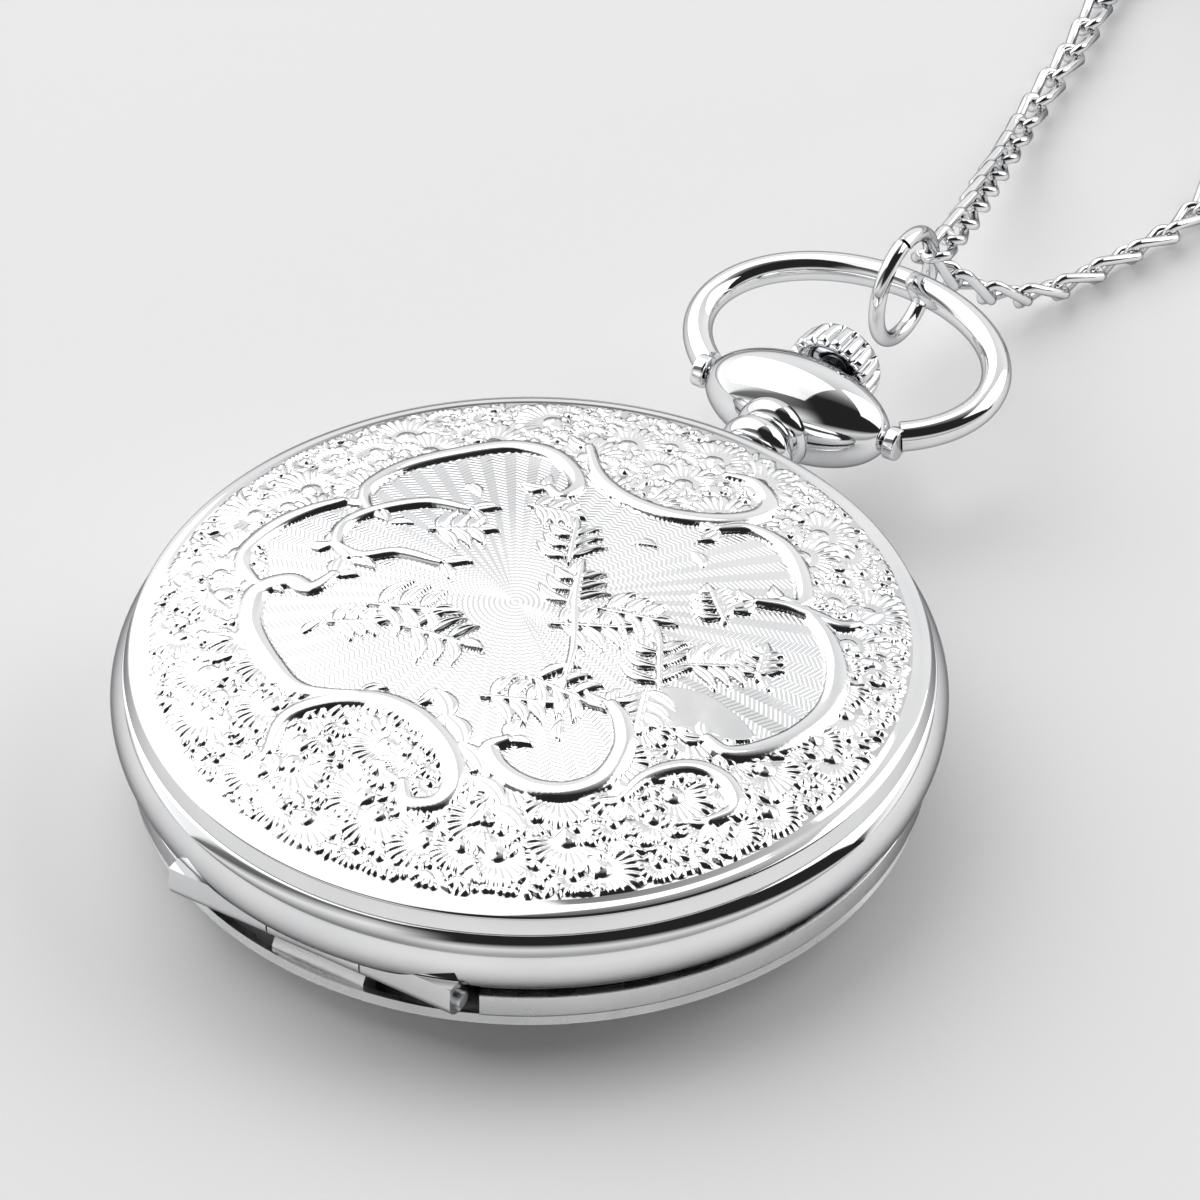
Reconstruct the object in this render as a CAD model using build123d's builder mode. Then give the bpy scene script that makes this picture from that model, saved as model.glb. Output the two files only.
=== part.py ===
"""Hunter pocket watch, lying on its closed front lid with the embossed back cover up.

Millimetres. The origin is the centre of the lid's flat, on the surface the watch lies on.
+Z points up through the back cover, +Y runs out through the pendant and crown.
"""
import os
from math import atan2, cos, degrees, hypot, pi, radians, sin, tan

from build123d import *

os.makedirs("parts", exist_ok=True)

# ---- driving dimensions -------------------------------------------------------------------
BEAD_R = 23.5  # widest part of the case
CASE_BOTTOM_Z = 4.8
BEAD_Z = 6.73
SEAM_R = 22.65
SEAM_Z = 9.05
COVER_EDGE_R = 21.96
COVER_EDGE_Z = 10.0
DOME_EDGE_R = 21.35
DOME_EDGE_Z = 10.36
DOME_TOP_Z = 12.3
SHELL = 0.38  # thickness of the cover and lid sheet
LID_FLAT_R = 9.0
LID_TOP_Z = 4.57
RUNNING = 0.03  # radial running clearance

HINGE_Y = -21.45
HINGE_Z = 4.75
KNUCKLE_R = 0.95
HINGE_PIN_R = 0.5
LUG_LEFT = (-9.2, -2.85)
LUG_RIGHT = (3.25, 9.0)
KNUCKLE_X = (-2.75, 3.15)

STEM_Z = 6.9
STEM_R = 0.6
STEM_AXIS = Axis((0, 0, STEM_Z), (0, 1, 0))
PIVOT_Y = 30.0  # bow pivot axis
BALL_Y = 29.9
BALL_HALF_X = 6.1
BALL_R = 3.15
BOW_HALF_X = 9.51
BOW_HALF_Y = 7.03
BOW_CENTRE_Y = 35.76
BOW_TILT = 5.1
BOW_WIRE_R = 0.9
BOW_PIN_R = 0.42
RING_R = 3.38
RING_WIRE_R = 0.475
RING_CENTRE = (0.0, 42.8, 7.7)

# ---- movement layout ----------------------------------------------------------------------
PLATE_R = 17.0
PLATE_LOW = 6.2
PLATE_TOP = 7.7
BRIDGE_TOP = 10.1
BRIDGE_R = 16.6
TRAIN_BRIDGE_LOW = 9.45
BARREL_BRIDGE_LOW = 8.85
PIVOT_R = 0.16
PIVOT_HOLE_R = 0.2

BARREL_TEETH, CENTRE_LEAVES = 72, 10
CENTRE_TEETH, THIRD_LEAVES = 64, 8
THIRD_TEETH, FOURTH_LEAVES = 60, 8
FOURTH_TEETH, ESCAPE_LEAVES = 70, 7
ESCAPE_TEETH = 15
CANNON_TEETH, MINUTE_TEETH = 12, 36
MINUTE_LEAVES, HOUR_TEETH = 10, 40
CROWN_TEETH, RATCHET_TEETH = 32, 44

CENTRE = (0.0, 0.0)
BARREL = (-6.5, 3.75)
THIRD = (-4.62, -5.52)
FOURTH = (0.0, -9.0)
ESCAPE = (5.06, -10.84)
BALANCE = (10.4, -3.0)
MINUTE = (2.0, 3.46)
CROWN_WHEEL = (-1.5, 10.0)
CLICK = (-12.2, 7.0)


def distance(a, b):
    """Distance between two points in plan."""
    return hypot(b[0] - a[0], b[1] - a[1])


def bearing(a, b):
    """Direction from a to b in plan, in degrees."""
    return degrees(atan2(b[1] - a[1], b[0] - a[0]))


def toward(a, b, length):
    """The point at a given distance from a on the line to b."""
    angle = radians(bearing(a, b))
    return (a[0] + length * cos(angle), a[1] + length * sin(angle))


def around(centre, radius, angle):
    """The point at an angle in degrees on a circle in plan."""
    return (centre[0] + radius * cos(radians(angle)), centre[1] + radius * sin(radians(angle)))


def disc(centre, radius, low, high, mode=Mode.ADD):
    """A round solid standing between two heights."""
    with BuildSketch(Plane.XY.offset(low)) as outline:
        with Locations(centre):
            Circle(radius)
    extrude(outline.sketch, amount=high - low, mode=mode)


def ring(centre, inner, outer, low, high):
    """A flat ring between two heights."""
    with BuildSketch(Plane.XY.offset(low)) as outline:
        with Locations(centre):
            Circle(outer)
            Circle(inner, mode=Mode.SUBTRACT)
    extrude(outline.sketch, amount=high - low)


def rod_y(radius, start, end, mode=Mode.ADD):
    """A round solid along the stem axis."""
    stem_plane = Plane(origin=(0, start, STEM_Z), x_dir=(1, 0, 0), z_dir=(0, 1, 0))
    with BuildSketch(stem_plane) as outline:
        Circle(radius)
    extrude(outline.sketch, amount=end - start, mode=mode)


def rod_x(radius, start, end, y, z, mode=Mode.ADD):
    """A round solid along X."""
    with BuildSketch(Plane(origin=(start, y, z), x_dir=(0, 1, 0), z_dir=(1, 0, 0))) as outline:
        Circle(radius)
    extrude(outline.sketch, amount=end - start, mode=mode)


def teeth(centre, count, module, phase, low, high, depth=1.25):
    """A toothed disc: straight-sided teeth with wide backlash, one centred on the phase angle."""
    pitch_r = count * module / 2
    tip_r = pitch_r + 0.8 * module
    root_r = pitch_r - depth * module
    step = 360 / count
    corners = []
    for tooth in range(count):
        middle = phase + tooth * step
        for radius, share in ((root_r, -0.27), (tip_r, -0.1), (tip_r, 0.1), (root_r, 0.27)):
            corners.append(around(centre, radius, middle + share * step))
    with BuildSketch(Plane.XY.offset(low)) as outline:
        with BuildLine():
            Polyline(*corners, close=True)
        make_face()
    extrude(outline.sketch, amount=high - low)


def cross_out(centre, inner, outer, spokes, width, low, high):
    """Cuts the windows between the spokes of a wheel."""
    with BuildSketch(Plane.XY.offset(low)) as outline:
        with Locations(centre):
            Circle(outer)
            Circle(inner, mode=Mode.SUBTRACT)
            with PolarLocations(0, spokes):
                Rectangle(outer * 2, width, align=(Align.MIN, Align.CENTER), mode=Mode.SUBTRACT)
    extrude(outline.sketch, amount=high - low, mode=Mode.SUBTRACT)


def arbor(centre, radius, low, high, pivot_low, pivot_high):
    """A wheel's shaft with a thinner pivot at each end."""
    disc(centre, radius, low, high)
    disc(centre, PIVOT_R, pivot_low, low)
    disc(centre, PIVOT_R, high, pivot_high)


def spiral(centre, inner, outer, turns, thickness, low, high):
    """A flat coiled strip."""
    steps = int(turns * 24)
    inside, outside = [], []
    for step in range(steps + 1):
        share = step / steps
        radius = inner + (outer - inner) * share
        inside.append(around(centre, radius, share * turns * 360))
        outside.append(around(centre, radius + thickness, share * turns * 360))
    with BuildSketch(Plane.XY.offset(low)) as outline:
        with BuildLine():
            Polyline(*inside, *reversed(outside), close=True)
        make_face()
    extrude(outline.sketch, amount=high - low)


def finish(part, name):
    """Labels a finished piece and writes it."""
    part.label = name
    export_step(part, f"parts/{name}.step")


# ---- case ---------------------------------------------------------------------------------
POCKET_R = 21.9  # bore that takes the back cover's snap lip
CASE_BORE_R = 20.9
CATCH_HALF_WIDTH = 1.4

with BuildPart() as case_middle:
    with BuildSketch(Plane.XZ):
        with BuildLine():
            Polyline((CASE_BORE_R, 5.2), (20.3, 5.2), (20.3, CASE_BOTTOM_Z), (22.3, CASE_BOTTOM_Z))
            ThreePointArc((22.3, CASE_BOTTOM_Z), (BEAD_R, BEAD_Z), (SEAM_R, SEAM_Z))
            Polyline((SEAM_R, SEAM_Z), (POCKET_R, SEAM_Z), (POCKET_R, 8.0), (CASE_BORE_R, 8.0))
            Line((CASE_BORE_R, 8.0), (CASE_BORE_R, 5.2))
        make_face()
    revolve(axis=Axis.Z)
    for left, right in (LUG_LEFT, LUG_RIGHT):
        with BuildSketch(Plane(origin=(left, HINGE_Y, HINGE_Z), x_dir=(0, 1, 0), z_dir=(1, 0, 0))):
            Circle(KNUCKLE_R)
            with Locations((-0.2, 0)):
                Rectangle(1.4, 1.3, align=(Align.CENTER, Align.MIN))
        extrude(amount=right - left)
    rod_x(KNUCKLE_R + 0.07, LUG_LEFT[1], LUG_RIGHT[0], HINGE_Y, HINGE_Z, Mode.SUBTRACT)
    rod_x(HINGE_PIN_R, LUG_LEFT[0] - 1, LUG_RIGHT[1] + 1, HINGE_Y, HINGE_Z, Mode.SUBTRACT)
    rod_y(2.03, 22.4, 24.5, Mode.SUBTRACT)
    rod_y(1.3, 19.0, 24.5, Mode.SUBTRACT)
    with BuildSketch(Plane.XY.offset(4.0)):
        with Locations((0, 21.0)):
            Rectangle(2 * CATCH_HALF_WIDTH + 0.3, 2.3)
    extrude(amount=1.28, mode=Mode.SUBTRACT)
    with BuildSketch(Plane.XY.offset(SEAM_Z - 0.35)):
        with Locations(around(CENTRE, BEAD_R, -76)):
            with Locations(Rotation(0, 0, -76)):
                Rectangle(3.0, 2.2)
    extrude(amount=1, mode=Mode.SUBTRACT)
finish(case_middle.part, "case_middle")

dome_r = (DOME_EDGE_R**2 + (DOME_TOP_Z - DOME_EDGE_Z) ** 2) / 2 / (DOME_TOP_Z - DOME_EDGE_Z)


def dome_z(radius, depth=0.0):
    """Height of the back cover's dome, or of a surface a given depth below it."""
    return DOME_TOP_Z - dome_r + ((dome_r - depth) ** 2 - radius**2) ** 0.5


with BuildPart() as back_cover:
    with BuildSketch(Plane.XZ):
        with BuildLine():
            ThreePointArc((0, DOME_TOP_Z), (11.0, dome_z(11.0)), (DOME_EDGE_R, DOME_EDGE_Z))
            Polyline((DOME_EDGE_R, DOME_EDGE_Z), (COVER_EDGE_R, COVER_EDGE_Z), (SEAM_R + 0.05, 9.2))
            Polyline((SEAM_R + 0.05, 9.2), (SEAM_R + 0.05, 9.08), (21.85, 9.08), (21.85, 8.25))
            Polyline((21.85, 8.25), (21.5, 8.25), (21.5, 9.6), (21.0, dome_z(21.0, SHELL)))
            ThreePointArc((21.0, dome_z(21.0, SHELL)), (11.0, dome_z(11.0, SHELL)), (0, dome_z(0, SHELL)))
            Line((0, dome_z(0, SHELL)), (0, DOME_TOP_Z))
        make_face()
    revolve(axis=Axis.Z)
finish(back_cover.part, "back_cover")

LID_RIM_R, LID_RIM_Z = 22.49, 2.26
LID_LINE_R, LID_LINE_Z = 22.15, 2.8
LID_WALL_R = 22.62
LID_INNER_R = 22.05
# Outline in Y and Z of the web below the knuckle. It leans in, so it clears the case when the lid is open.
LID_WEB = [(-21.97, 2.25), (-21.97, 3.2), (-21.35, 3.8), (-21.35, 4.3), (-20.75, 4.3), (-20.75, 2.0)]

with BuildPart() as front_lid:
    with BuildSketch(Plane.XZ):
        with BuildLine():
            Line((0, 0), (LID_FLAT_R, 0))
            ThreePointArc((LID_FLAT_R, 0), (16.0, 0.86), (DOME_EDGE_R, 1.94))
            Polyline((DOME_EDGE_R, 1.94), (LID_RIM_R, LID_RIM_Z), (LID_LINE_R, LID_LINE_Z))
            Polyline((LID_LINE_R, LID_LINE_Z), (LID_WALL_R - 0.1, 2.95), (LID_WALL_R, LID_TOP_Z))
            Polyline((LID_WALL_R, LID_TOP_Z), (LID_INNER_R, LID_TOP_Z), (21.7, 2.45))
            Line((21.7, 2.45), (DOME_EDGE_R - 0.1, 1.94 + SHELL))
            ThreePointArc((DOME_EDGE_R - 0.1, 1.94 + SHELL), (16.0, 0.86 + SHELL), (LID_FLAT_R, SHELL))
            Polyline((LID_FLAT_R, SHELL), (0, SHELL), (0, 0))
        make_face()
    revolve(axis=Axis.Z)
    with BuildSketch(Plane.XY.offset(2.95)):
        with Locations(((LUG_LEFT[0] + LUG_RIGHT[1]) / 2, -22)):
            Rectangle(LUG_RIGHT[1] - LUG_LEFT[0] + 1.2, 4.0)
    extrude(amount=3, mode=Mode.SUBTRACT)
    rod_x(KNUCKLE_R, KNUCKLE_X[0], KNUCKLE_X[1], HINGE_Y, HINGE_Z)
    with BuildSketch(Plane(origin=(KNUCKLE_X[0], 0, 0), x_dir=(0, 1, 0), z_dir=(1, 0, 0))):
        with BuildLine():
            Polyline(*LID_WEB, close=True)
        make_face()
    extrude(amount=KNUCKLE_X[1] - KNUCKLE_X[0])
    rod_x(HINGE_PIN_R + RUNNING, -5, 5, HINGE_Y, HINGE_Z, Mode.SUBTRACT)
finish(front_lid.part, "front_lid")

with BuildPart() as lid_hinge_pin:
    rod_x(HINGE_PIN_R, LUG_LEFT[0] - 0.3, LUG_RIGHT[1] + 0.3, HINGE_Y, HINGE_Z)
finish(lid_hinge_pin.part, "lid_hinge_pin")

with BuildPart() as lid_spring:
    with BuildSketch(Plane.XY.offset(3.9)):
        with BuildLine():
            CenterArc((0, 0), 20.65, 110, 120)
            CenterArc((0, 0), 20.95, 110, 120)
            Line(around(CENTRE, 20.65, 110), around(CENTRE, 20.95, 110))
            Line(around(CENTRE, 20.65, 230), around(CENTRE, 20.95, 230))
        make_face()
    extrude(amount=0.9)
finish(lid_spring.part, "lid_spring")

with BuildPart() as catch_spring:
    with BuildSketch(Plane.XY.offset(4.15)):
        with Locations((0, 21.45)):
            Rectangle(2 * CATCH_HALF_WIDTH, 0.8)
    extrude(amount=1.05)
    fillet(catch_spring.edges().filter_by(Axis.Z), 0.2)
finish(catch_spring.part, "catch_spring")

CRYSTAL_R = 17.88
with BuildPart() as bezel:
    with BuildSketch(Plane.XZ):
        with BuildLine():
            Polyline((CRYSTAL_R, 2.8), (18.6, 2.8), (20.15, 4.6), (20.15, 5.15), (19.0, 5.15))
            Polyline((19.0, 5.15), (19.0, 4.95), (17.2, 4.95), (17.2, 3.35), (CRYSTAL_R, 3.35))
            Line((CRYSTAL_R, 3.35), (CRYSTAL_R, 2.8))
        make_face()
    revolve(axis=Axis.Z)
finish(bezel.part, "bezel")

with BuildPart() as crystal:
    disc(CENTRE, CRYSTAL_R, 2.6, 3.35)
    chamfer(crystal.faces().sort_by(Axis.Z)[0].edges(), 0.15)
finish(crystal.part, "crystal")

with BuildPart() as movement_ring:
    ring(CENTRE, PLATE_R + 0.05, 20.85, 5.35, PLATE_TOP)
    rod_y(1.2, 16.0, 22.0, Mode.SUBTRACT)
    rod_x(KNUCKLE_R + 0.25, -4, 4, HINGE_Y, HINGE_Z, Mode.SUBTRACT)
    for angle in (150, -30):
        disc(around(CENTRE, 17.9, angle), 0.45, 5.9, 9, Mode.SUBTRACT)
finish(movement_ring.part, "movement_ring")

with BuildPart() as case_screws:
    for angle in (150, -30):
        spot = around(CENTRE, 17.9, angle)
        disc(spot, 0.45, 5.9, PLATE_TOP)
        disc(spot, 1.2, PLATE_TOP, 8.0)
        with BuildSketch(Plane.XY.offset(7.88)):
            with Locations(spot):
                Rectangle(3, 0.25)
        extrude(amount=0.2, mode=Mode.SUBTRACT)
finish(case_screws.part, "case_screws")

# ---- pendant, crown, bow and ring ---------------------------------------------------------
with BuildPart() as pendant:
    with BuildSketch(Plane.XY.offset(STEM_Z)):
        with BuildLine():
            Polyline((0, 20.95), (1.3, 20.95), (1.3, 22.45), (2.0, 22.45), (2.0, 23.6), (1.7, 24.15))
            ThreePointArc((1.7, 24.15), (2.32, 25.08), (1.7, 26.0))
            Line((1.7, 26.0), (1.7, 26.2))
            ThreePointArc((1.7, 26.2), (2.35, 27.05), (1.7, 27.9))
            Polyline((1.7, 27.9), (2.12, 27.95), (2.12, 28.2), (1.6, 28.3), (1.6, PIVOT_Y))
            Polyline((1.6, PIVOT_Y), (0, PIVOT_Y), (0, 20.95))
        make_face()
    revolve(axis=STEM_AXIS)
    with BuildSketch(Plane.XY.offset(STEM_Z)):
        with Locations((0, BALL_Y)):
            Ellipse(BALL_HALF_X, BALL_R)
            Rectangle(2 * BALL_HALF_X, 2 * BALL_R, align=(Align.CENTER, Align.MAX), mode=Mode.SUBTRACT)
    revolve(axis=Axis((0, BALL_Y, STEM_Z), (1, 0, 0)))
    rod_y(1.05, 20.0, 34.0, Mode.SUBTRACT)
    rod_x(BOW_PIN_R + RUNNING, -7, -4.9, PIVOT_Y, STEM_Z, Mode.SUBTRACT)
    rod_x(BOW_PIN_R + RUNNING, 4.9, 7, PIVOT_Y, STEM_Z, Mode.SUBTRACT)
finish(pendant.part, "pendant")

with BuildPart() as crown_sleeve:
    rod_y(1.0, 21.4, 33.0)
    rod_y(STEM_R + 0.05, 21.0, 34.0, Mode.SUBTRACT)
finish(crown_sleeve.part, "crown_sleeve")

CROWN_LOW, CROWN_TOP = 33.3, 36.0
CROWN_R, CROWN_CAP_R, CROWN_CAP_RISE = 2.75, 2.6, 0.7
CROWN_FLUTES = 18
with BuildPart() as crown:
    with BuildSketch(Plane.XY.offset(STEM_Z)):
        with BuildLine():
            cap_edge = (CROWN_CAP_R, CROWN_TOP - CROWN_CAP_RISE)
            Polyline((0, CROWN_LOW), (CROWN_R, CROWN_LOW), cap_edge)
            cap_r = (CROWN_CAP_R**2 + CROWN_CAP_RISE**2) / 2 / CROWN_CAP_RISE
            ThreePointArc(cap_edge, (1.4, CROWN_TOP - cap_r + (cap_r**2 - 1.4**2) ** 0.5), (0, CROWN_TOP))
            Line((0, CROWN_TOP), (0, CROWN_LOW))
        make_face()
    revolve(axis=STEM_AXIS)
    with BuildSketch(Plane(origin=(0, CROWN_LOW, STEM_Z), x_dir=(1, 0, 0), z_dir=(0, 1, 0))):
        with PolarLocations(CROWN_R - 0.03, CROWN_FLUTES):
            Circle(0.36)
    extrude(amount=1.75, taper=3)
    rod_y(2.15, CROWN_LOW - 0.1, 34.5, Mode.SUBTRACT)
    rod_y(STEM_R, 34.0, 34.95, Mode.SUBTRACT)
finish(crown.part, "crown")

with BuildPart() as crown_gasket:
    rod_y(1.8, 34.05, 34.45)
    rod_y(STEM_R + 0.05, 34.0, 35.0, Mode.SUBTRACT)
finish(crown_gasket.part, "crown_gasket")

bow_plane = Plane(origin=(0, PIVOT_Y, STEM_Z), x_dir=(1, 0, 0), z_dir=(0, 0, 1)).rotated((BOW_TILT, 0, 0))
BOW_START_X = 6.6  # where the wire meets its pivot collar
bow_start = degrees(atan2(-((1 - (BOW_START_X / BOW_HALF_X) ** 2) ** 0.5), BOW_START_X / BOW_HALF_X))
with BuildPart() as bow:
    with BuildLine(bow_plane) as bow_path:
        bow_centre = (0, BOW_CENTRE_Y - PIVOT_Y)
        EllipticalCenterArc(bow_centre, BOW_HALF_X, BOW_HALF_Y, bow_start, arc_size=180 - 2 * bow_start)
    with BuildSketch(bow_path.line ^ 0):
        Circle(BOW_WIRE_R)
    sweep()
    for side in (-1, 1):
        inner, outer = sorted((side * 5.2, side * 6.3))
        rod_x(BOW_PIN_R, inner, outer, PIVOT_Y, STEM_Z)
        inner, outer = sorted((side * 6.15, side * 6.95))
        rod_x(1.0, inner, outer, PIVOT_Y, STEM_Z)
finish(bow.part, "bow")

with BuildPart() as jump_ring:
    with BuildSketch(Plane(origin=RING_CENTRE, x_dir=(1, 0, 0), z_dir=(0, 0, 1))):
        with Locations((0, RING_R)):
            Circle(RING_WIRE_R)
    revolve(axis=Axis(RING_CENTRE, (1, 0, 0)))
finish(jump_ring.part, "jump_ring")

# ---- plates and bridges -------------------------------------------------------------------
PALLET = toward(ESCAPE, BALANCE, 3.9)
BRIDGE_SCREWS = [(15.75, 22), (15.75, 75), (15.75, 158), (15.9, 200), (15.9, 245), (15.9, 292)]
COCK_SCREW = (15.98, -15)
SETTING_LEVER = (-4.6, 14.2)
YOKE = (-6.6, 10.4)
BARREL_R = 6.2
SCREW_R = 0.4  # bridge screws and their holes

with BuildPart() as mainplate:
    disc(CENTRE, PLATE_R, PLATE_LOW, PLATE_TOP)
    disc(BARREL, BARREL_R + 0.22, 6.6, 8, Mode.SUBTRACT)
    disc(BARREL, 0.55, 6, 7, Mode.SUBTRACT)
    disc(CENTRE, 0.6, 6, 8, Mode.SUBTRACT)
    for pivot in (THIRD, ESCAPE, PALLET, BALANCE):
        disc(pivot, PIVOT_HOLE_R, 6.6, 8, Mode.SUBTRACT)
    disc(FOURTH, 0.27, 6, 8, Mode.SUBTRACT)
    rod_y(STEM_R + 0.08, 6.5, 18.0, Mode.SUBTRACT)
    with BuildSketch(Plane.XY.offset(6)):
        with Locations((0, 11.2)):
            Rectangle(3.4, 5.2)
    extrude(amount=2, mode=Mode.SUBTRACT)
    for radius, angle in BRIDGE_SCREWS + [COCK_SCREW]:
        disc(around(CENTRE, radius, angle), SCREW_R, 6.7, 8, Mode.SUBTRACT)
    disc(MINUTE, 0.3, 5.42, PLATE_LOW)
    disc(SETTING_LEVER, 0.35, 5.55, PLATE_LOW)
    disc(YOKE, 0.35, 5.55, PLATE_LOW)
finish(mainplate.part, "mainplate")


def foot(inner, start, sweep_angle, high):
    """The curved wall that carries a bridge on the mainplate."""
    with BuildSketch(Plane.XY.offset(PLATE_TOP)) as outline:
        with BuildLine():
            CenterArc((0, 0), inner, start, sweep_angle)
            CenterArc((0, 0), BRIDGE_R, start, sweep_angle)
            for angle in (start, start + sweep_angle):
                Line(around(CENTRE, inner, angle), around(CENTRE, BRIDGE_R, angle))
        make_face()
    extrude(outline.sketch, amount=high - PLATE_TOP)


with BuildPart() as barrel_bridge:
    with BuildSketch(Plane.XY.offset(BARREL_BRIDGE_LOW)):
        Circle(BRIDGE_R)
        with Locations((0, 1.9)):
            Rectangle(40, 30, align=(Align.CENTER, Align.MAX), mode=Mode.SUBTRACT)
    extrude(amount=BRIDGE_TOP - BARREL_BRIDGE_LOW)
    foot(14.9, 14, 152, BARREL_BRIDGE_LOW)
    fillet(barrel_bridge.edges().filter_by(Axis.Z), 0.4)
    disc(BARREL, 0.98, 8, 11, Mode.SUBTRACT)
    disc(CROWN_WHEEL, 0.98, 8, 11, Mode.SUBTRACT)
    rod_y(0.75, 14.0, 18.0, Mode.SUBTRACT)
    for radius, angle in BRIDGE_SCREWS[:3]:
        disc(around(CENTRE, radius, angle), SCREW_R, 7, 11, Mode.SUBTRACT)
    disc(CLICK, 0.3, 9.4, 11, Mode.SUBTRACT)
finish(barrel_bridge.part, "barrel_bridge")

with BuildPart() as train_bridge:
    with BuildSketch(Plane.XY.offset(TRAIN_BRIDGE_LOW)):
        Circle(BRIDGE_R)
        with Locations((0, 1.5)):
            Rectangle(40, 30, align=(Align.CENTER, Align.MIN), mode=Mode.SUBTRACT)
        with Locations(BALANCE):
            Circle(5.0, mode=Mode.SUBTRACT)
        with Locations((9.0, -9.5)):
            Rectangle(20, 20, align=(Align.MIN, Align.MIN), mode=Mode.SUBTRACT)
    extrude(amount=BRIDGE_TOP - TRAIN_BRIDGE_LOW)
    foot(15.2, 190, 112, TRAIN_BRIDGE_LOW)
    disc(CENTRE, PIVOT_HOLE_R, 9, 11, Mode.SUBTRACT)
    for pivot in (THIRD, FOURTH, ESCAPE, PALLET):
        disc(pivot, PIVOT_HOLE_R, 9, 11, Mode.SUBTRACT)
    for radius, angle in BRIDGE_SCREWS[3:]:
        disc(around(CENTRE, radius, angle), SCREW_R, 7, 11, Mode.SUBTRACT)
finish(train_bridge.part, "train_bridge")

with BuildPart() as balance_cock:
    with BuildSketch(Plane.XY.offset(9.65)):
        with Locations(BALANCE):
            Circle(1.3)
        with Locations(around(CENTRE, 15.2, -15)):
            Circle(1.35)
        make_hull()
    extrude(amount=BRIDGE_TOP - 9.65)
    foot(15.35, -26, 22, 9.66)
    disc(BALANCE, PIVOT_HOLE_R, 9, 11, Mode.SUBTRACT)
    disc(around(CENTRE, *COCK_SCREW), SCREW_R, 7, 11, Mode.SUBTRACT)
finish(balance_cock.part, "balance_cock")

with BuildPart() as bridge_screws:
    for radius, angle in BRIDGE_SCREWS + [COCK_SCREW]:
        spot = around(CENTRE, radius, angle)
        disc(spot, SCREW_R, 6.7, BRIDGE_TOP)
        disc(spot, 0.7, BRIDGE_TOP, 10.35)
        with BuildSketch(Plane.XY.offset(10.22)):
            with Locations(spot):
                Rectangle(2, 0.2, rotation=angle * 3)
        extrude(amount=0.2, mode=Mode.SUBTRACT)
finish(bridge_screws.part, "bridge_screws")

# ---- going train --------------------------------------------------------------------------
barrel_module = 2 * distance(BARREL, CENTRE) / (BARREL_TEETH + CENTRE_LEAVES)
centre_module = 2 * distance(CENTRE, THIRD) / (CENTRE_TEETH + THIRD_LEAVES)
third_module = 2 * distance(THIRD, FOURTH) / (THIRD_TEETH + FOURTH_LEAVES)
fourth_module = 2 * distance(FOURTH, ESCAPE) / (FOURTH_TEETH + ESCAPE_LEAVES)


def gap_phase(centre, other, count):
    """The phase that puts a gap of this wheel where the other wheel's tooth is."""
    return bearing(centre, other) + 180 / count


with BuildPart() as barrel:
    disc(BARREL, BARREL_R, 6.65, 8.3)
    teeth(BARREL, BARREL_TEETH, barrel_module, bearing(BARREL, CENTRE), 7.85, 8.25)
    disc(BARREL, BARREL_R - 0.35, 6.85, 8.1, Mode.SUBTRACT)
    disc(BARREL, 0.98, 6, 9, Mode.SUBTRACT)
finish(barrel.part, "barrel")

with BuildPart() as mainspring:
    spiral(BARREL, 2.1, 5.55, 7, 0.2, 6.95, 8.0)
finish(mainspring.part, "mainspring")

crown_module = 2 * distance(CROWN_WHEEL, BARREL) / (CROWN_TEETH + RATCHET_TEETH)
WHEEL_LOW, WHEEL_HIGH = 10.15, 10.4
with BuildPart() as barrel_arbor:
    disc(BARREL, 0.5, 6.25, 6.8)
    disc(BARREL, 0.94, 6.8, WHEEL_LOW)
    disc(BARREL, 1.7, 6.9, 8.05)
finish(barrel_arbor.part, "barrel_arbor")

with BuildPart() as ratchet_wheel:
    teeth(BARREL, RATCHET_TEETH, crown_module, bearing(BARREL, CROWN_WHEEL), WHEEL_LOW, WHEEL_HIGH)
    disc(BARREL, 0.9, WHEEL_HIGH, 10.6)
    with BuildSketch(Plane.XY.offset(10.5)):
        with Locations(BARREL):
            Rectangle(2, 0.25)
    extrude(amount=0.2, mode=Mode.SUBTRACT)
finish(ratchet_wheel.part, "ratchet_wheel")

CONTRATE_R = 3.1
with BuildPart() as crown_wheel:
    upper_phase = gap_phase(CROWN_WHEEL, BARREL, CROWN_TEETH)
    teeth(CROWN_WHEEL, CROWN_TEETH, crown_module, upper_phase, WHEEL_LOW, WHEEL_HIGH)
    disc(CROWN_WHEEL, CONTRATE_R, 8.6, 8.78)
    for tooth in range(CROWN_TEETH):
        tooth_angle = tooth * 360 / CROWN_TEETH
        with BuildSketch(Plane.XY.offset(8.4)):
            with Locations(around(CROWN_WHEEL, CONTRATE_R - 0.25, tooth_angle)):
                Rectangle(0.42, 0.26, rotation=tooth_angle)
        extrude(amount=0.25)
    disc(CROWN_WHEEL, 0.94, 8.78, WHEEL_LOW)
    disc(CROWN_WHEEL, 0.9, WHEEL_HIGH, 10.6)
finish(crown_wheel.part, "crown_wheel")

with BuildPart() as click:
    click_tip = toward(BARREL, CLICK, RATCHET_TEETH * crown_module / 2 + 0.32)
    with BuildSketch(Plane.XY.offset(WHEEL_LOW)):
        with Locations(CLICK):
            Circle(0.75)
        with Locations(click_tip):
            Circle(0.14)
        make_hull()
    extrude(amount=WHEEL_HIGH - WHEEL_LOW)
    disc(CLICK, 0.27, 9.5, WHEEL_LOW)
    disc(CLICK, 0.55, WHEEL_HIGH, 10.55)
finish(click.part, "click")

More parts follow.
